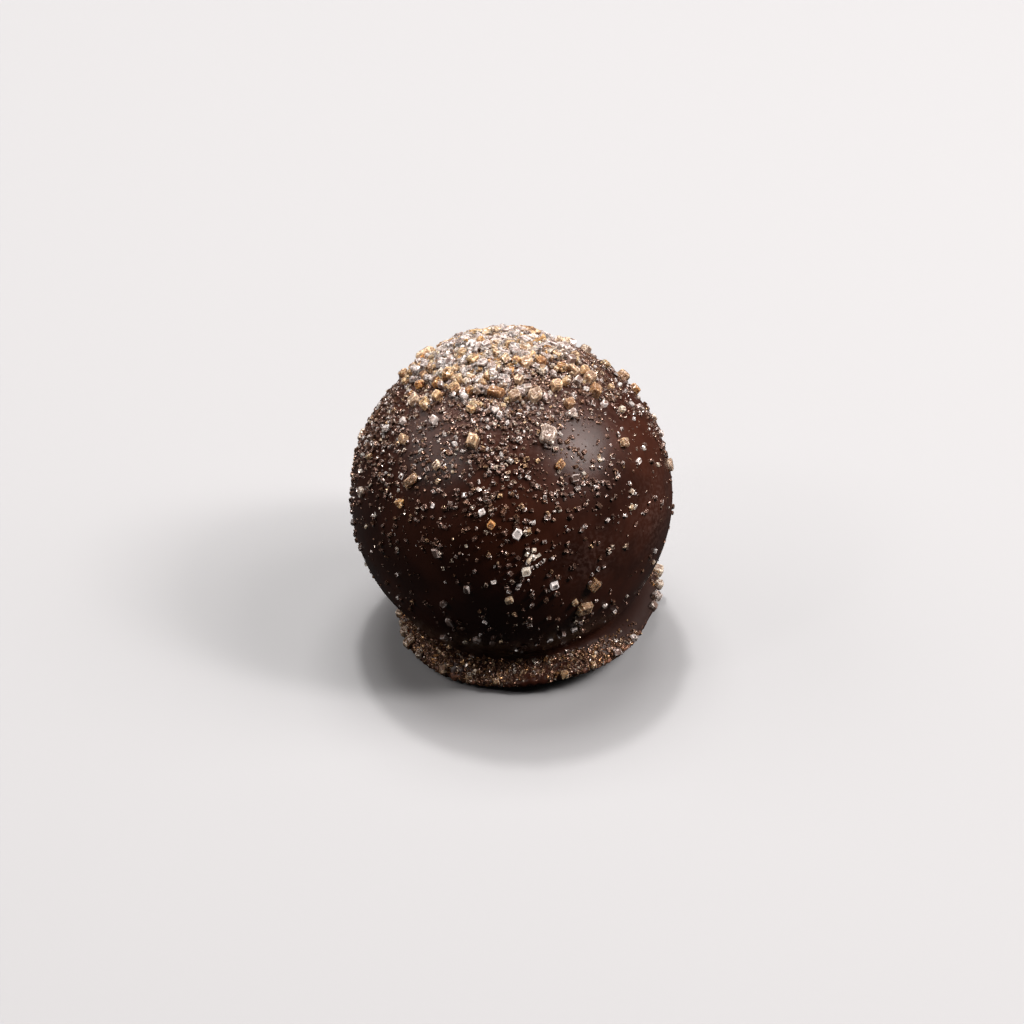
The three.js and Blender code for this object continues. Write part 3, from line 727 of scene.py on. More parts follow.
def new_piece(name, vertices, faces, material, smooth):
    """A mesh object from an array of points and a list of arrays of faces, each array holding
    faces with the same number of corners."""
    mesh = bpy.data.meshes.new(name)
    counts = np.concatenate([np.full(len(part), part.shape[1]) for part in faces])
    corners = np.concatenate([part.ravel() for part in faces])
    mesh.vertices.add(len(vertices))
    mesh.vertices.foreach_set("co", np.asarray(vertices, np.float32).ravel())
    mesh.loops.add(len(corners))
    mesh.loops.foreach_set("vertex_index", corners.astype(np.int32))
    mesh.polygons.add(len(counts))
    starts = np.concatenate(([0], np.cumsum(counts)[:-1]))
    mesh.polygons.foreach_set("loop_start", starts.astype(np.int32))
    mesh.polygons.foreach_set("use_smooth", np.full(len(counts), smooth))
    mesh.update(calc_edges=True)
    mesh.validate()
    mesh.materials.append(material)
    piece = bpy.data.objects.new(name, mesh)
    bpy.context.scene.collection.objects.link(piece)
    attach(piece, BODY)
    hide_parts(NODE)
    return piece


def add_attribute(piece, name, values, domain="POINT"):
    """A number or a vector for each vertex or face, which the piece's material reads by name."""
    values = np.asarray(values, np.float32)
    kind, field = ("FLOAT", "value") if values.ndim == 1 else ("FLOAT_VECTOR", "vector")
    attribute = piece.data.attributes.new(name, kind, domain)
    attribute.data.foreach_set(field, values.ravel())


def grid_faces(rows, columns):
    """Four-sided faces of a grid whose columns close on themselves, numbered row by row."""
    row = np.arange(rows - 1)[:, None] * columns
    column = np.arange(columns)[None, :]
    ahead = (column + 1) % columns
    faces = np.stack((row + column, row + ahead, row + columns + ahead, row + columns + column), -1)
    return faces.reshape(-1, 4)


class NodeSheet:
    """Short calls for laying out shader nodes in one tree. Where they take a value, it's a
    number, a colour or another node's output."""

    def __init__(self, tree):
        self.tree = tree

    def fill(self, node, inputs):
        """Puts values into a node's inputs, given by name or place."""
        for label, value in inputs.items():
            socket = node.inputs[label]
            if isinstance(value, bpy.types.NodeSocket):
                self.tree.links.new(value, socket)
            else:
                socket.default_value = (*value, 1) if socket.type == "RGBA" else value
        return node

    def add(self, kind, inputs, **settings):
        node = self.tree.nodes.new(kind)
        for name, value in settings.items():
            setattr(node, name, value)
        return self.fill(node, inputs).outputs

    def maths(self, operation, first, second):
        return self.add("ShaderNodeMath", {0: first, 1: second}, operation=operation)[0]

    def vectors(self, operation, inputs):
        return self.add("ShaderNodeVectorMath", inputs, operation=operation)[0]

    def ramp(self, value, low, high):
        """From 0 to 1, smoothly, as a value goes from low to high."""
        inputs = {"Value": value, "From Min": low, "From Max": high}
        return self.add("ShaderNodeMapRange", inputs, interpolation_type="SMOOTHSTEP")["Result"]

    def mixed(self, kind, share, first, second):
        """From the first, share 0, to the second, share 1, of two RGBA or FLOAT values."""
        inputs = {"Factor": share, "A": first, "B": second}
        return self.add("ShaderNodeMix", inputs, data_type=kind)["Result"]

    def noise(self, vector, scale, detail, roughness):
        inputs = {"Vector": vector, "Scale": scale, "Detail": detail, "Roughness": roughness}
        return self.add("ShaderNodeTexNoise", inputs)["Fac"]

    def attribute(self, name, output="Fac"):
        return self.add("ShaderNodeAttribute", {}, attribute_name=name)[output]

    def group(self, name, make, inputs):
        """Places a node group, made by a function if it isn't there yet."""
        tree = bpy.data.node_groups.get(name) or make(name)
        return self.add("ShaderNodeGroup", inputs, node_tree=tree)


def new_group(name, numbers, outputs):
    """An empty node group. Its inputs are a vector and the numbers, each with its default, and
    its outputs have their kinds."""
    tree = bpy.data.node_groups.new(name, "ShaderNodeTree")
    socket = tree.interface.new_socket
    socket(name="Vector", in_out="INPUT", socket_type="NodeSocketVector")
    for label, default in numbers.items():
        socket(name=label, in_out="INPUT", socket_type="NodeSocketFloat").default_value = default
    for label, kind in outputs.items():
        socket(name=label, in_out="OUTPUT", socket_type=kind)
    sheet = NodeSheet(tree)
    return tree, sheet, sheet.add("NodeGroupInput", {}), tree.nodes.new("NodeGroupOutput")


def mottle_group(name):
    """Mottle: clouds of a size, from 0 to 1 between two levels of the noise, and the height of
    much finer pits for a bump."""
    tree, sheet, given, result = new_group(
        name,
        {"Cloud Scale": 300.0, "Pit Scale": 3000.0, "From": 0.35, "To": 0.65},
        {"Cloud": "NodeSocketFloat", "Pits": "NodeSocketFloat"},
    )
    cloud = sheet.noise(given["Vector"], given["Cloud Scale"], 3.0, 0.55)
    pits = sheet.noise(given["Vector"], given["Pit Scale"], 2.0, 0.6)
    sheet.fill(result, {"Cloud": sheet.ramp(cloud, given["From"], given["To"]), "Pits": pits})
    return tree


def mottled(sheet, vector, cloud_size, pit_size, low, high):
    """Places the Mottle group with its own sizes and gives its outputs."""
    sizes = {"Cloud Scale": 1 / cloud_size, "Pit Scale": 1 / pit_size}
    inputs = {"Vector": vector, **sizes, "From": low, "To": high}
    return sheet.group("Mottle", mottle_group, inputs)


def new_material(name):
    """A material, the sheet for laying out its nodes, and its shader."""
    material = bpy.data.materials.new(name)
    material.use_nodes = True
    tree = material.node_tree
    return material, NodeSheet(tree), tree.nodes["Principled BSDF"]


def chocolate_material():
    """Dark chocolate with a satin gloss: warmer in patches; pale and dull where sugar dust lies on
    it, and on the crown, where the same pale colour is painted light between the crystals; dull on
    the bare cove of the foot, where it is also painted dark as painted shade; and light brown and
    rough where the lip is torn."""
    coating = bpy.context.scene.truffle_coating
    material, sheet, shader = new_material("dark_chocolate")
    vector = sheet.add("ShaderNodeTexCoord", {})["Object"]
    marbled = mottled(sheet, vector, *MARBLED)
    dusted = mottled(sheet, vector, *DUSTED)
    # Where dust lies, and the painted light between the crown's crystals, in clouds.
    dust_and_painted_light_clouds = sheet.maths("MULTIPLY", sheet.attribute("dust_and_painted_light"), dusted["Cloud"])
    frayed = sheet.maths("MULTIPLY", dusted["Cloud"], FRAY)
    torn = sheet.ramp(sheet.maths("ADD", sheet.attribute("torn"), frayed), *TORN_LEVELS)
    warmth = sheet.maths("ADD", marbled["Cloud"], sheet.attribute("warm_patches"))
    colour = sheet.mixed("RGBA", warmth, coating.dark, coating.warm)
    colour = sheet.mixed("RGBA", dust_and_painted_light_clouds, colour, coating.dust_and_painted_light)
    colour = sheet.mixed("RGBA", torn, colour, coating.torn)
    rough = (coating.roughness + change for change in CLOUD_ROUGHNESS)
    rough = sheet.mixed("FLOAT", marbled["Cloud"], *rough)
    rough = sheet.mixed("FLOAT", sheet.attribute("dull_and_painted_shade"), rough, DULL_ROUGHNESS)
    rough = sheet.mixed("FLOAT", dust_and_painted_light_clouds, rough, DULL_ROUGHNESS)
    rough = sheet.mixed("FLOAT", torn, rough, TORN_ROUGHNESS)
    grit = sheet.maths("MULTIPLY", dusted["Pits"], sheet.maths("ADD", dust_and_painted_light_clouds, torn))
    height = sheet.maths("ADD", marbled["Pits"], grit)
    inputs = {
        "Base Color": colour,
        "Roughness": rough,
        "Normal": sheet.add("ShaderNodeBump", {"Height": height, **BUMP})["Normal"],
        "Specular IOR Level": CHOCOLATE_SPECULAR,
    }
    sheet.fill(shader, inputs)
    return material


def facets_group(name):
    """Facets: how brightly each place on a crystal is painted, from 0 to 1, as painted light: the
    facet's own painted light moved by round clouds, and by streaks that are the same noise pulled
    out three times along the crystal. The normal is tilted one way in each cell of a size, as on
    the small broken faces of a crystal."""
    tree, sheet, given, result = new_group(
        name,
        {
            "Facet": 0.5, "Cloud Scale": 3000.0, "Clouds": 1.0, "Streak Scale": 8000.0,
            "Streaks": 1.0, "From": 0.2, "To": 0.8, "Chip Scale": 7000.0, "Tilt": 0.8,
        },
        {
            "Painted Light": "NodeSocketFloat",
            "Streaks": "NodeSocketFloat",
            "Normal": "NodeSocketVector",
        },
    )
    vector, value = given["Vector"], given["Facet"]
    pulled = sheet.add("ShaderNodeMapping", {"Vector": vector, "Scale": (0.33, 1, 1)})["Vector"]
    clouds = sheet.noise(vector, given["Cloud Scale"], 1.0, 0.5)
    streaks = sheet.noise(pulled, given["Streak Scale"], 1.0, 0.6)
    for noise, amount in ((clouds, "Clouds"), (streaks, "Streaks")):
        moved = sheet.maths("MULTIPLY", sheet.maths("SUBTRACT", noise, 0.5), given[amount])
        value = sheet.maths("ADD", value, moved)
    inputs = {"Vector": vector, "Scale": given["Chip Scale"]}
    cells = sheet.add("ShaderNodeTexVoronoi", inputs)["Color"]
    aside = sheet.vectors("SUBTRACT", {0: cells, 1: (0.5, 0.5, 0.5)})
    aside = sheet.vectors("SCALE", {0: aside, "Scale": given["Tilt"]})
    normal = sheet.vectors("ADD", {0: sheet.add("ShaderNodeNewGeometry", {})["Normal"], 1: aside})
    inputs = {
        "Painted Light": sheet.ramp(value, given["From"], given["To"]),
        "Streaks": streaks,
        "Normal": sheet.vectors("NORMALIZE", {0: normal}),
    }
    sheet.fill(result, inputs)
    return tree


def sugar_material(name):
    """Sugar crystals, by their row of FINISHES: places painted lit in the crystal's own tint, as
    painted light and glints, between others in painted shade through which the chocolate also
    shows, which keep a share of that tint. The brightest places glow as painted glints."""
    sugar = bpy.context.scene.truffle_sugar
    scatter, shine_through, sizes, amounts, limits, glint = FINISHES[name]
    material, sheet, shader = new_material(name)
    tint, facet, broken = (sheet.attribute(label) for label in ("tint", "facet", "broken"))
    inputs = {
        "Vector": sheet.attribute("inside", "Vector"),
        "Facet": facet,
        "Cloud Scale": 1 / sizes[0],
        "Streak Scale": 1 / sizes[1],
        "Chip Scale": 1 / sizes[2],
        "Clouds": amounts[0],
        "Streaks": sheet.maths("MULTIPLY", broken, amounts[1]),
        "Tilt": sheet.maths("MULTIPLY", broken, amounts[2]),
        "From": limits[0],
        "To": limits[1],
    }
    facets = sheet.group("Facets", facets_group, inputs)
    tints = ((0.0, 0.25, sugar.pale), (0.25, 0.6, sugar.golden), (0.6, 1.0, sugar.amber))
    colour = sugar.clear
    for low, high, darker in tints:
        colour = sheet.mixed("RGBA", sheet.ramp(tint, low, high), colour, darker)
    shade = sheet.mixed("RGBA", shine_through, sugar.shaded, colour)
    colour = sheet.mixed("RGBA", facets["Painted Light"], shade, colour)
    # Painted glints: the brightest painted facets glow.
    painted_glint = sheet.ramp(facet, *PAINTED_GLINT_LEVELS)
    painted_glint = sheet.maths("MULTIPLY", painted_glint, facets["Painted Light"])
    inputs = {
        "Base Color": colour,
        "Roughness": sheet.mixed("FLOAT", facets["Streaks"], *SUGAR_ROUGHNESS),
        "Normal": facets["Normal"],
        "Emission Color": sheet.mixed("RGBA", painted_glint, (0, 0, 0), colour),
        "Emission Strength": PAINTED_GLINT_STRENGTH,
        "IOR": SUGAR_IOR,
        "Metallic": glint,
    }
    if scatter:
        inputs["Subsurface Weight"] = 1.0
        inputs["Subsurface Radius"] = (1, 1, 1)
        inputs["Subsurface Scale"] = scatter
    sheet.fill(shader, inputs)
    return material


# ---------- The coating ----------


def coating_piece():
    """The coating as one grid: azimuth across, and the parts of the outline one after another
    up each column, from the middle of the underside to the top. Soft noise and lumps push each
    point along its own normal, and attributes say where the finish changes."""
    coating = bpy.context.scene.truffle_coating
    azimuth = np.arange(COATING_COLUMNS)[None, :] * 360.0 / COATING_COLUMNS
    share = np.arange(1, COATING_ROWS["base"] + 1)[:, None] / (COATING_ROWS["base"] + 1)
    base = placed(azimuth, share * on_undercut(azimuth, 0.0)[0], 0.0 * share)
    bands = [(base, np.broadcast_to((0, 0, -1), base.shape), share + 0 * azimuth)]
    curves = {"undercut": on_undercut, "lip": on_lip, "cove": on_cove, "ball": on_ball}
    for name, curve in curves.items():
        share = np.arange(COATING_ROWS[name])[:, None] / COATING_ROWS[name]
        bands.append((*on_surface(curve, azimuth, share), share + 0 * azimuth))
    points, normals, shares = (np.concatenate(parts) for parts in zip(*bands))
    names = np.repeat(list(COATING_ROWS), list(COATING_ROWS.values()))[:, None]
    rows, columns = shares.shape

    on_foot = np.where(names == "cove", 1 - shares, names == "lip")
    bare = np.clip(1 - swollen(FOOT_COVER, FOOT_COVER_SWELLS, azimuth), 0, 1)
    lip = np.where(names == "lip", np.sin(np.pi * shares), 0)
    torn_at = np.clip(swollen(0, TORN_EDGES, azimuth), 0, 1)
    relief = layered(soft_noise, BALL_RELIEF, points)
    foot_relief = layered(soft_noise, FOOT_RELIEF, points) + layered(lumps, FOOT_LUMPS, points)
    relief += on_foot * mix(1, BARE_RELIEF, bare) * foot_relief
    relief += lip * layered(soft_noise, LIP_RELIEF, points)
    relief += lip * torn_at * layered(soft_noise, TORN_RELIEF, points)
    top_fade = np.where(names == "ball", np.clip((1 - shares) * TOP_FADE, 0, 1), 1)
    base_fade = np.select((names == "base", names == "undercut"), (0 * shares, shares), 1)
    points = points + normals * (relief * top_fade * base_fade)[..., None]
    points[..., 2] = np.maximum(points[..., 2], 0.0)

    top = (0, 0, coating.centre_height + coating.ball_radius)
    vertices = np.concatenate(([(0, 0, 0)], points.reshape(-1, 3), [top]))
    ring = np.arange(columns)
    ahead = (ring + 1) % columns
    last = 1 + (rows - 1) * columns
    low_cap = np.stack((0 * ring, ahead + 1, ring + 1), -1)
    high_cap = np.stack((0 * ring + len(vertices) - 1, last + ring, last + ahead), -1)
    faces = [grid_faces(rows, columns) + 1, low_cap, high_cap]
    material = chocolate_material()
    piece = new_piece("chocolate_coating", vertices, faces, material, True)

    away = points - np.array((0, 0, coating.centre_height))
    away /= np.linalg.norm(away, axis=-1, keepdims=True)
    # Bells for the dust, whose row on the crown is painted light between the crystals, and for the
    # warm patches.
    dust_and_painted_light, warm_patches = (
        sum(amount * bell(away, *place) for *place, amount in places)
        for places in (DUST_AND_PAINTED_LIGHT_PLACES, WARM_PATCHES)
    )
    # Bare places of the cove turn dull, and the same mask is painted shade: it takes the warmth out
    # of the colour there, so it is painted dark.
    dull_and_painted_shade = np.clip(on_foot * DULL_RISE, 0, 1) * bare * base_fade
    edge = np.where(names == "lip", np.clip(TORN_LIP[0] - TORN_LIP[1] * shares, 0, 1), 0)
    attributes = {"torn": edge * torn_at, "dust_and_painted_light": dust_and_painted_light, "warm_patches": warm_patches - dull_and_painted_shade, "dull_and_painted_shade": dull_and_painted_shade}
    for name, values in attributes.items():
        add_attribute(piece, name, np.concatenate(([0.0], values.ravel(), [0.0])))


# ---------- The sugar ----------


def matrices(*rows):
    """Stacked matrices from their rows, whose entries are numbers or arrays."""
    rows = [np.stack(np.broadcast_arrays(*row), -1) for row in rows]
    return np.stack(np.broadcast_arrays(*rows), -2)


def turns_to(normals, twist, lean):
    """Rotation matrices: a lean about X, then a twist about Z, then the shortest turn that takes
    Z to the normal."""
    x, y, z = np.moveaxis(normals, -1, 0)
    share = 1 / (1 + z)
    upright = matrices(
        (1 - x * x * share, -x * y * share, x), (-x * y * share, 1 - y * y * share, y), (-x, -y, z)
    )
    cosine, sine = np.cos(np.radians(twist)), np.sin(np.radians(twist))
    about_z = matrices((cosine, -sine, 0), (sine, cosine, 0), (0, 0, 1))
    cosine, sine = np.cos(np.radians(lean)), np.sin(np.radians(lean))
    about_x = matrices((1, 0, 0), (0, cosine, -sine), (0, sine, cosine))
    return upright @ about_z @ about_x


def cut_outline(length, width, cut):
    """Corners of rectangles with two opposite corners cut off, one after another round each."""
    x, y = length / 2, width / 2
    corners_x = np.stack((-x, x - cut, x, x, cut - x, -x), -1)
    corners_y = np.stack((-y, -y, cut - y, y, y, y - cut), -1)
    return np.stack((corners_x, corners_y), -1)


def bevelled_outline(corners, bevel):
    """Each corner becomes two: one on the way to the corner before it and one on the way to the
    corner after it, both a bevel away from it."""
    pairs = []
    for step in (1, -1):
        way = np.roll(corners, step, 1) - corners
        way /= np.linalg.norm(way, axis=-1, keepdims=True)
        pairs.append(corners + way * bevel[:, None, None])
    return np.stack(pairs, 2).reshape(len(corners), -1, 2)


def block_points(outline, height, bevel, rim, taper, rugged, draw):
    """Corners of blocks of sugar: an outline is carried up through rings, of which the last is
    drawn in by the bevel. Where there is a rim, so is the first, and one more ring lies inside
    the last. The sides lean in upwards by the taper, and every corner is moved by a random draw,
    up to the rugged share of the block's half width."""
    half = height / 2
    smallest = np.abs(outline).max(1).min(-1)
    inset = 1 - bevel / smallest
    top = 1 - taper
    scales = [np.ones_like(half), top, top * inset]
    rings = [bevel - half, half - bevel, half]
    if rim is not None:
        scales = [inset, *scales, top * (inset - rim / smallest)]
        rings = [-half, *rings, half + TOP_SWELL * height]
    scales, rings = np.stack(scales, -1), np.stack(rings, -1)
    points = outline[:, None] * scales[:, :, None, None]
    heights = np.broadcast_to(rings[:, :, None, None], (*points.shape[:3], 1))
    points = np.concatenate((points, heights), -1)
    return points + draw.uniform(-1, 1, points.shape) * (rugged * smallest)[:, None, None, None]


def plain_points(outline, height, rugged, draw):
    """Corners of plain blocks: four of the outline's corners at the bottom and at the top, each
    moved by a random draw, up to the rugged share of half the height."""
    few = outline[:, [0, 2, 3, 5]]
    ends = np.stack((-height / 2, height / 2), -1)[:, :, None, None]
    flat = np.broadcast_to(few[:, None], (len(few), 2, 4, 2))
    points = np.concatenate((flat, np.broadcast_to(ends, (len(few), 2, 4, 1))), -1)
    return points + draw.uniform(-1, 1, points.shape) * (rugged * height / 2)[:, None, None, None]


def block_faces(count, rings, corners):
    """Faces of that many blocks: four-sided ones round the rings, and the two ends."""
    sides = grid_faces(rings, corners)
    ends = np.stack((np.arange(corners)[::-1], np.arange(corners) + (rings - 1) * corners))
    starts = np.arange(count)[:, None, None] * rings * corners
    return [(sides[None] + starts).reshape(-1, 4), (ends[None] + starts).reshape(-1, corners)]


def painted_facet_light(count, rings, corners, whiteness, draw):
    """How brightly each facet is painted, as painted light: the bands of sides by the table of
    painted side light, bevelled edges more, as painted highlights, and the ends less, each facet
    moved by a random draw, and the whole crystal by its whiteness."""
    bands = np.array(PAINTED_SIDE_LIGHT[rings])[None, :, None]
    sides = bands + draw.uniform(-SIDE_RANGE, SIDE_RANGE, (count, rings - 1, corners))
    if corners > CUT_CORNERS:
        sides[:, :, ::2] += PAINTED_BEVEL_HIGHLIGHT
    ends = draw.uniform(0.0, END_RANGE, (count, 2))
    sides, ends = sides + whiteness[:, None, None], ends + whiteness[:, None]
    return np.concatenate((sides.ravel(), ends.ravel()))


def sugar_piece(name, crystals, material, draw, rim=0.0, simple=False):
    """Crystals given as a table of arrays, joined into one mesh. With a rim, each crystal's
    upright edges are bevelled too, and a narrow rim runs round its top facet."""
    length, width, height, rugged = (
        crystals[key] for key in ("length", "width", "height", "rugged")
    )
    count = len(length)
    smallest = np.minimum(width, height)
    outline = cut_outline(length, width, crystals["cut"] * width)
    if rim:
        outline = bevelled_outline(outline, EDGE_BEVEL * smallest)
    if simple:
        points = plain_points(outline, height, rugged, draw)
    else:
        bevel = crystals["bevel"] * smallest
        inner = rim * smallest if rim else None
        taper = draw.uniform(0, MOST_TAPER, count)
        points = block_points(outline, height, bevel, inner, taper, rugged, draw)
    rings, corners = points.shape[1:3]
    points = points.reshape(count, -1, 3)
    inside = points + draw.uniform(-PATTERN_RANGE, PATTERN_RANGE, (count, 1, 3)) * MM
    turns = turns_to(crystals["normal"], crystals["twist"], crystals["lean"])
    raised = height * (0.5 - crystals["sunk"]) + crystals["lift"]
    middles = crystals["point"] + crystals["normal"] * raised[:, None]
    vertices = np.einsum("nij,nkj->nki", turns, points) + middles[:, None, :]
    vertices[..., 2] = np.maximum(vertices[..., 2], 0.0)
    faces = block_faces(count, rings, corners)
    piece = new_piece(name, vertices.reshape(-1, 3), faces, material, False)
    for key in ("tint", "broken"):
        add_attribute(piece, key, np.repeat(crystals[key], points.shape[1]))
    add_attribute(piece, "inside", inside.reshape(-1, 3))
    # Painted light on each face: brighter sides, painted highlights on bevels, darker ends and
    # painted glints.
    brightness = painted_facet_light(count, rings, corners, crystals["whiteness"], draw)
    add_attribute(piece, "facet", brightness, "FACE")


def crystal_table(place, length, **others):
    """A table of crystals with one array for each property: places and normals, lengths, and the
    others, which are these defaults where they aren't given."""
    points, normals = place
    usual = {"lean": 0.0, "lift": 0.0, "sunk": SUNK_SHARE, "broken": 1.0, "single": False}
    table = {name: np.broadcast_to(value, len(points)) for name, value in (usual | others).items()}
    return {"point": points, "normal": normals, "length": length, **table}


def single_table(place, length, width, twist, tint, brightness, lean=0.0):
    """Crystals that have places and sizes of their own."""
    return crystal_table(
        place, length * MM, width=width * MM, height=SINGLE_HEIGHT_SHARE * width * MM,
        twist=twist, lean=lean, tint=tint, whiteness=brightness, single=True,
        cut=0.25, bevel=0.12, rugged=0.08, broken=0.7,
    )


def strewn_table(number, place, lengths):
    """Crystals whose sizes and turns come from the multiples of one share of a turn."""
    chance = fraction(number * THIRD_TURN)
    length = mix(*lengths, chance**2)
    hue = fraction(23 * chance)
    return crystal_table(
        place, length,
        width=length * mix(*STREWN_SHARES, fraction(7 * chance)),
        height=length * mix(*STREWN_SHARES, fraction(5 * chance)),
        twist=360 * fraction(11 * chance),
        lean=mix(-STREWN_LEAN, STREWN_LEAN, fraction(13 * chance)),
        cut=mix(0.08, 0.3, fraction(17 * chance)),
        bevel=mix(0.08, 0.18, fraction(19 * chance)),
        rugged=0.13,
        whiteness=mix(-0.25, 0.25, fraction(37 * chance)),
        tint=np.where(hue < 0.35, 0.3 * hue, mix(0.25, 0.7, hue)) + 0.3 * (hue > 0.94),
    )


def fine_table(place, draw, lengths, sunk=SUNK_SHARE):
    """Small crystals whose sizes, turns, edges, brightness and colours are drawn at random."""
    count = len(place[0])
    length = mix(*lengths, draw.random(count) ** LENGTH_POWER)
    return crystal_table(
        place, length,
        width=length * draw.uniform(*GRAIN_SHARES, count),
        height=length * draw.uniform(*FLATTER_SHARES, count),
        twist=draw.uniform(0, 360, count),
        lean=draw.normal(0, TUMBLE, count),
        sunk=sunk,
        cut=draw.uniform(0.1, 0.35, count),
        bevel=draw.uniform(0.1, 0.22, count),
        rugged=SMALL_RUGGED,
        whiteness=draw.normal(-0.05, 0.25, count),
        tint=draw.random(count) ** TINT_POWER * MOST_TINT,
    )


def joined_tables(*tables):
    """One table with the rows of all."""
    return {name: np.concatenate([table[name] for table in tables]) for name in tables[0]}


def keep(table, chosen):
    """The rows of a table that are chosen."""
    return {name: values[chosen] for name, values in table.items()}


def clear_of(points, singles):
    """True where a point is far enough from every single crystal."""
    away = np.linalg.norm(points[:, None, :] - singles["point"][None], axis=-1)
    return (away > CLEAR_OF_SINGLES).all(1)


def coarse_density(normals):
    """How thickly coarse sugar lies, from 0 to 1: a bell round the crown, a lower and wider one
    round the top, and a little everywhere."""
    crown = bell(normals, *CROWN, CROWN_SPREAD)
    shoulder = SHOULDER_DENSITY * bell(normals, 0, 90, SHOULDER_SPREAD)
    return CROWN_DENSITY * crown + shoulder * (1 - crown) + STRAY_DENSITY


def coarse_on_ball():
    """The single crystals, and those of the spiral's even places that the density keeps."""
    sugar = bpy.context.scene.truffle_sugar
    azimuth, latitude, *others = np.array(SINGLE_CRYSTALS, float).T
    singles = single_table(place_on_ball(azimuth, latitude), *others)
    number = np.arange(SPIRAL_PLACES)
    latitude = np.degrees(np.arcsin(1 - (2 * number + 1) / SPIRAL_PLACES))
    azimuth = 360 * fraction(number * GOLDEN_TURN)
    points, normals = place = place_on_ball(azimuth, latitude)
    strewn = strewn_table(number, place, (sugar.coarse_shortest, sugar.coarse_longest))
    taken = fraction(number * SECOND_TURN) < coarse_density(normals)
    high = points[:, 2] > foot_at(azimuth)[2] + CLEAR_OF_COLLAR
    return joined_tables(singles, keep(strewn, taken & high & clear_of(points, singles)))


def coarse_on_lip():
    """The single crystals, and a ring of even places, each moved by less than its step."""
    azimuth, *others = np.array(LIP_CRYSTALS, float).T
    singles = single_table(place_on_lip(azimuth), *others, lean=LIP_CRYSTAL_LEAN)
    number = np.arange(LIP_PLACES)
    place = place_on_lip(360 * (number + fraction(number * SECOND_TURN)) / LIP_PLACES)
    strewn = strewn_table(number, place, LIP_LENGTHS)
    return joined_tables(singles, keep(strewn, clear_of(place[0], singles)))


def split_by_kind(crystals):
    """The golden crystals and the clear ones. The further from the crown a crystal lies, the more
    likely it is clear, unless it stands out singly."""
    on_crown = bell(crystals["normal"], *CROWN, GOLDEN_SPREAD, FLAT_TOP)
    chance = fraction(29 * crystals["twist"] / 360)
    golden = chance < GOLDEN_SHARES[0] + GOLDEN_SHARES[1] * on_crown
    golden = np.where(crystals["single"], crystals["tint"] > GOLDEN_TINT, golden)
    return keep(crystals, golden), keep(crystals, ~golden)


def chips_round(crystals, chips, draw):
    """Small chips stuck to crystals: each lies at its crystal's side, up to half its length away
    across the surface and up to half its height further out."""
    many = {name: np.repeat(values, chips, 0) for name, values in crystals.items()}
    size = many["length"]
    count = len(size)
    across = np.cross(many["normal"], draw.normal(0, 1, (count, 3)))
    across /= np.linalg.norm(across, axis=-1, keepdims=True)
    point = many["point"] + across * (size * draw.uniform(0.25, 0.5, count))[:, None]
    lift = many["lift"] + many["height"] * draw.uniform(0, 0.5, count)
    length = size * draw.uniform(0.28, 0.5, count)
    return many | {
        "point": point,
        "lift": lift,
        "length": length,
        "width": length * draw.uniform(*GRAIN_SHARES, count),
        "height": length * draw.uniform(*GRAIN_SHARES, count),
        "twist": draw.uniform(0, 360, count),
        "lean": draw.normal(0, TUMBLE, count),
        "whiteness": many["whiteness"] + draw.normal(0.1, 0.2, count),
        "tint": np.clip(many["tint"] + draw.uniform(-0.25, 0.1, count), 0, 1),
        "rugged": np.full(count, SMALL_RUGGED),
    }


def even_draws(draw, lowest, tries):
    """Azimuths and latitudes of draws spread evenly over the sphere, above a share of its
    radius: the arc sine of an even draw."""
    latitude = np.degrees(np.arcsin(draw.uniform(lowest, 1, tries)))
    return draw.uniform(0, 360, tries), latitude


def small_on_crown(draw):
    """Smaller crystals, golden and white, that fill the crown between the large ones: even draws
    over the sphere, each kept with the chance that the heap's flat-topped bell gives."""
    points, normals = place_on_ball(*even_draws(draw, HEAP_LOWEST, HEAP_TRIES))
    heap = bell(normals, *HEAP, HEAP_SPREAD, FLAT_TOP)
    kept = draw.random(HEAP_TRIES) < HEAP_CHANCE * heap + HEAP_STRAYS
    table = fine_table((points[kept], normals[kept]), draw, HEAP_LENGTHS, HEAP_SUNK)
    hue = draw.random(kept.sum())
    lift = HEAP_HEIGHT * draw.random(kept.sum()) * heap[kept] ** 2 - HEAP_DROP
    return table | {"tint": np.where(hue < HEAP_PALE, HEAP_PALE_TINT * hue, hue**2), "lift": lift}


def fine_cover(azimuth, latitude):
    """The share of the chocolate that fine sugar hides. What each bell leaves bare is multiplied:
    the crown's, the one that falls off from the top, and those of the drifts."""
    crown = FINE_CROWN_COVER * bell(directions(azimuth, latitude), *CROWN, FINE_CROWN_SPREAD)
    spread = swollen(FINE_SPREAD, FINE_SPREAD_SWELLS, azimuth)
    fall = FINE_COVER * np.exp(-(((90 - latitude) / spread) ** 2))
    bare = (1 - crown) * (1 - fall) * (1 - FINE_STRAY_COVER)
    for middle, height, across, upwards, cover in FINE_DRIFTS:
        turn = turn_from(azimuth, middle) * np.cos(np.radians(height)) / across
        bare *= 1 - cover * np.exp(-(turn**2) - ((latitude - height) / upwards) ** 2)
    return 1 - bare


def under_crust(points, normals):
    """Points moved back by the crust's thickness, and their normals."""
    return points - normals * crust_at(normals)[:, None], normals


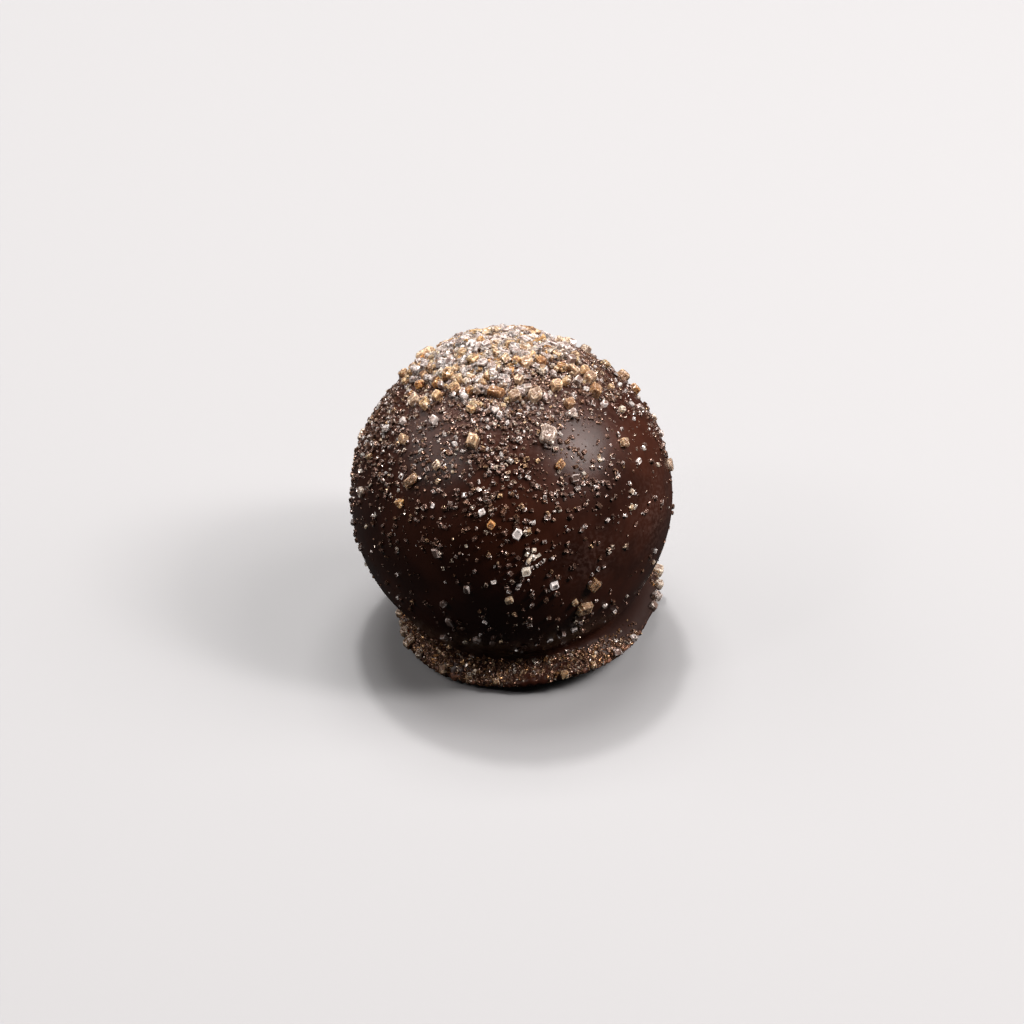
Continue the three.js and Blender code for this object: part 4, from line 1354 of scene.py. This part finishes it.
def fine_on_ball(draw):
    """Fine crystals over the ball: even draws over the sphere, each kept with the chance that
    gives the cover wanted there, minus the logarithm of what it leaves bare. Where the cover is
    thick they lie on each other. The cover at each comes back too."""
    sugar = bpy.context.scene.truffle_sugar
    radius = bpy.context.scene.truffle_coating.ball_radius
    thickest = FINE_LAYERS / FINE_GRAIN_AREA
    tries = int(thickest * 4 * np.pi * radius**2)
    azimuth, latitude = even_draws(draw, -1, tries)
    cover = fine_cover(azimuth, latitude)
    points, normals = place_on_ball(azimuth, latitude)
    patches = np.clip(1 + layered(soft_noise, FINE_PATCHES, points), *FINE_PATCH_LIMITS)
    wanted = -np.log(1 - np.clip(cover, 0, FINE_MOST_COVER)) / FINE_GRAIN_AREA * patches
    high = points[:, 2] > foot_at(azimuth)[2] + FINE_CLEAR_OF_COLLAR
    kept = (draw.random(tries) < wanted / thickest) & high
    cover = cover[kept]
    place = under_crust(points[kept], normals[kept])
    table = fine_table(place, draw, (sugar.fine_shortest, sugar.fine_longest), FINE_SUNK)
    piled = np.clip((cover - PILED_FROM) / PILED_OVER, 0, 1)
    table["lift"] = piled * draw.uniform(0, PILE_HEIGHT, len(cover))
    return table, cover


def fine_singles(draw):
    """The small grains that have places, sizes and colours of their own, which stand in for the
    drawn ones."""
    azimuth, latitude, length, tint, brightness = np.array(FINE_SINGLES, float).T
    table = fine_table(place_on_ball(azimuth, latitude), draw, (0, MM), FINE_SUNK)
    length = FINE_SINGLE_SHARE * length * MM
    table["length"] = length
    table["width"] = length * draw.uniform(0.7, 0.95, len(length))
    table["height"] = length * draw.uniform(0.7, 0.9, len(length))
    return table | {"tint": tint, "whiteness": brightness}


def dust_on_ball(draw):
    """The smallest grains: even draws over all but the bottom of the ball, each kept with a share
    of the fine sugar's cover there, away from the crown."""
    azimuth, latitude = even_draws(draw, DUST_LOWEST, DUST_TRIES)
    points, normals = place_on_ball(azimuth, latitude)
    patches = 1 + layered(soft_noise, DUST_PATCHES, points)
    chance = DUST_CHANCE * fine_cover(azimuth, latitude) * patches
    chance *= degrees_from(normals, *CROWN) > DUST_FROM_CROWN
    high = points[:, 2] > foot_at(azimuth)[2]
    kept = (draw.random(DUST_TRIES) < chance) & high
    return fine_table(under_crust(points[kept], normals[kept]), draw, DUST_LENGTHS)


def fine_on_foot(draw, curve, count, lengths, lean_to_edge, reach):
    """Fine crystals caught in the collar or on the lip, partly sunk in the chocolate: as many
    tries as the count, kept by the foot's own cover on that side. The higher the power that
    leans them, the more of them lie near the curve's lower edge, up to the reach."""
    azimuth = draw.uniform(0, 360, count)
    cover = np.clip(swollen(FOOT_COVER, FOOT_COVER_SWELLS, azimuth), 0, 1)
    share = draw.random(count) ** lean_to_edge * reach * mix(BARE_REACH, 1.0, cover)
    points, normals = on_surface(curve, azimuth, share)
    patches = 1 + layered(soft_noise, FOOT_PATCHES, points)
    kept = draw.random(count) < cover * patches
    table = fine_table((points[kept], normals[kept]), draw, lengths)
    return table | {"tint": draw.random(kept.sum()) ** FOOT_TINT_POWER}


# ---------- Operators ----------


class TRUFFLE_OT_coating(bpy.types.Operator):
    """Make the chocolate coating: ball, collar and foot"""

    bl_idname = "truffle.coating"
    bl_label = "Chocolate coating"

    def execute(self, context):
        coating_piece()
        return {"FINISHED"}


class TRUFFLE_OT_coarse_sugar(bpy.types.Operator):
    """Strew the coarse sugar on the ball and the lip: golden crystals and clear ones"""

    bl_idname = "truffle.coarse_sugar"
    bl_label = "Coarse sugar"

    def execute(self, context):
        draw = np.random.default_rng(context.scene.truffle_sugar.seed)
        golden, clear = split_by_kind(joined_tables(coarse_on_ball(), coarse_on_lip()))
        small = small_on_crown(draw)
        whole = joined_tables(keep(golden, ~golden["single"]), small)
        small = joined_tables(small, chips_round(whole, CHIPS, draw))
        cloudy, glassy = sugar_material("golden_sugar"), sugar_material("clear_coarse_sugar")
        sugar_piece("golden_sugar", golden, cloudy, draw, TOP_RIM)
        sugar_piece("crown_sugar", small, cloudy, draw)
        sugar_piece("clear_coarse_sugar", clear, glassy, draw, TOP_RIM)
        return {"FINISHED"}


class TRUFFLE_OT_fine_sugar(bpy.types.Operator):
    """Strew the fine clear sugar on the ball"""

    bl_idname = "truffle.fine_sugar"
    bl_label = "Fine sugar"

    def execute(self, context):
        draw = np.random.default_rng(context.scene.truffle_sugar.seed + 1)
        grains, cover = fine_on_ball(draw)
        white = draw.random(len(cover)) < mix(*WHITE_SHARES, cover**2)
        clear_grains = joined_tables(keep(grains, ~white), fine_singles(draw))
        cloudy, clear = sugar_material("cloudy_fine_sugar"), sugar_material("clear_fine_sugar")
        sugar_piece("cloudy_fine_sugar", keep(grains, white), cloudy, draw)
        sugar_piece("clear_fine_sugar", clear_grains, clear, draw)
        sugar_piece("sugar_dust", dust_on_ball(draw), clear, draw, simple=True)
        return {"FINISHED"}


class TRUFFLE_OT_foot_sugar(bpy.types.Operator):
    """Strew the fine sugar that is caught in the foot"""

    bl_idname = "truffle.foot_sugar"
    bl_label = "Sugar in the foot"

    def execute(self, context):
        draw = np.random.default_rng(context.scene.truffle_sugar.seed + 2)
        material = sugar_material("foot_sugar")
        grains = fine_on_foot(draw, on_cove, *COVE_GRAINS)
        sugar_piece("foot_sugar", grains, material, draw)
        on_collar = fine_on_foot(draw, on_cove, *COVE_CRUMBS)
        crumbs = joined_tables(on_collar, fine_on_foot(draw, on_lip, *LIP_CRUMBS))
        sugar_piece("foot_crumbs", crumbs, material, draw, simple=True)
        return {"FINISHED"}


def link_facing(name, data, target, way, distance):
    """Adds a light or a camera at a distance from its target along a way, facing it."""
    thing = bpy.data.objects.new(name, data)
    thing.location = target + way * distance
    thing.rotation_euler = way.to_track_quat("Z", "Y").to_euler()
    bpy.context.scene.collection.objects.link(thing)
    return thing


class TRUFFLE_OT_stage(bpy.types.Operator):
    """Set the floor, the lights and the camera"""

    bl_idname = "truffle.stage"
    bl_label = "Stage"

    def execute(self, context):
        scene, stage = context.scene, context.scene.truffle_stage
        ring = directions(np.arange(FLOOR_CORNERS) * 360 / FLOOR_CORNERS, 0.0) * FLOOR_RADIUS
        ring[:, 2] = -FLOOR_DROP
        mesh = bpy.data.meshes.new("floor")
        mesh.from_pydata(ring.tolist(), [], [list(range(FLOOR_CORNERS))])
        material, sheet, shader = new_material("floor")
        seen = sheet.add("ShaderNodeLightPath", {})["Is Camera Ray"]
        dim = [stage.floor_bounce * value for value in stage.floor]
        colour = sheet.mixed("RGBA", seen, dim, stage.floor)
        sheet.fill(shader, {"Base Color": colour, **FLOOR_FINISH})
        mesh.materials.append(material)
        floor = bpy.data.objects.new("floor", mesh)
        scene.collection.objects.link(floor)

        middle = Vector((0, 0, scene.truffle_coating.centre_height))
        for name, azimuth, elevation, size, power, share, colour in LIGHTS:
            light = bpy.data.lights.new(name, "AREA")
            light.energy = share * getattr(stage, power)
            light.color = colour
            light.shape = "RECTANGLE"
            light.size, light.size_y = size
            way = Vector(directions(azimuth, elevation))
            link_facing(name, light, middle, way, LIGHT_DISTANCE)

        scene.world = bpy.data.worlds.new("studio")
        scene.world.use_nodes = True
        sky = NodeSheet(scene.world.node_tree)
        seen = sky.add("ShaderNodeLightPath", {})["Is Camera Ray"]
        strength = sky.mixed("FLOAT", seen, *SKY_STRENGTHS)
        background = scene.world.node_tree.nodes["Background"]
        sky.fill(background, {"Color": SKY_COLOUR, "Strength": strength})

        camera = bpy.data.cameras.new("camera")
        camera.lens = CAMERA_LENS
        camera.clip_start = CAMERA_NEAREST
        elevation = np.degrees(stage.elevation)
        way, up = Vector(directions(270, elevation)), Vector(directions(90, 90 - elevation))
        aim = middle - up * CAMERA_AIM_DROP
        scene.camera = link_facing("camera", camera, aim, way, stage.distance)
        scene.view_settings.view_transform = "Standard"
        return {"FINISHED"}


class TRUFFLE_PT_panel(bpy.types.Panel):
    """The truffle's settings and the operators that make it"""

    bl_idname = "TRUFFLE_PT_panel"
    bl_label = "Chocolate truffle"
    bl_space_type = "VIEW_3D"
    bl_region_type = "UI"
    bl_category = "Truffle"

    def draw(self, context):
        for group, operators in LAYOUT:
            settings = getattr(context.scene, group)
            box = self.layout.box()
            for name in settings.__annotations__:
                box.prop(settings, name)
            for operator in operators:
                box.operator(operator.bl_idname)


LAYOUT = (
    ("truffle_coating", (TRUFFLE_OT_coating,)),
    ("truffle_sugar", (TRUFFLE_OT_coarse_sugar, TRUFFLE_OT_fine_sugar, TRUFFLE_OT_foot_sugar)),
    ("truffle_stage", (TRUFFLE_OT_stage,)),
)
SETTINGS = {
    "truffle_coating": TruffleCoatingSettings,
    "truffle_sugar": TruffleSugarSettings,
    "truffle_stage": TruffleStageSettings,
}
CLASSES = (
    *SETTINGS.values(),
    *(operator for _, operators in LAYOUT for operator in operators),
    TRUFFLE_PT_panel,
)


def register():
    for one in CLASSES:
        bpy.utils.register_class(one)
    for name, settings in SETTINGS.items():
        setattr(bpy.types.Scene, name, PointerProperty(type=settings))


def unregister():
    for name in SETTINGS:
        delattr(bpy.types.Scene, name)
    for one in reversed(CLASSES):
        bpy.utils.unregister_class(one)


def main():
    register()
    bpy.ops.truffle.coating()
    bpy.ops.truffle.coarse_sugar()
    bpy.ops.truffle.fine_sugar()
    bpy.ops.truffle.foot_sugar()
    bpy.ops.truffle.stage()


if __name__ == "__main__":
    main()
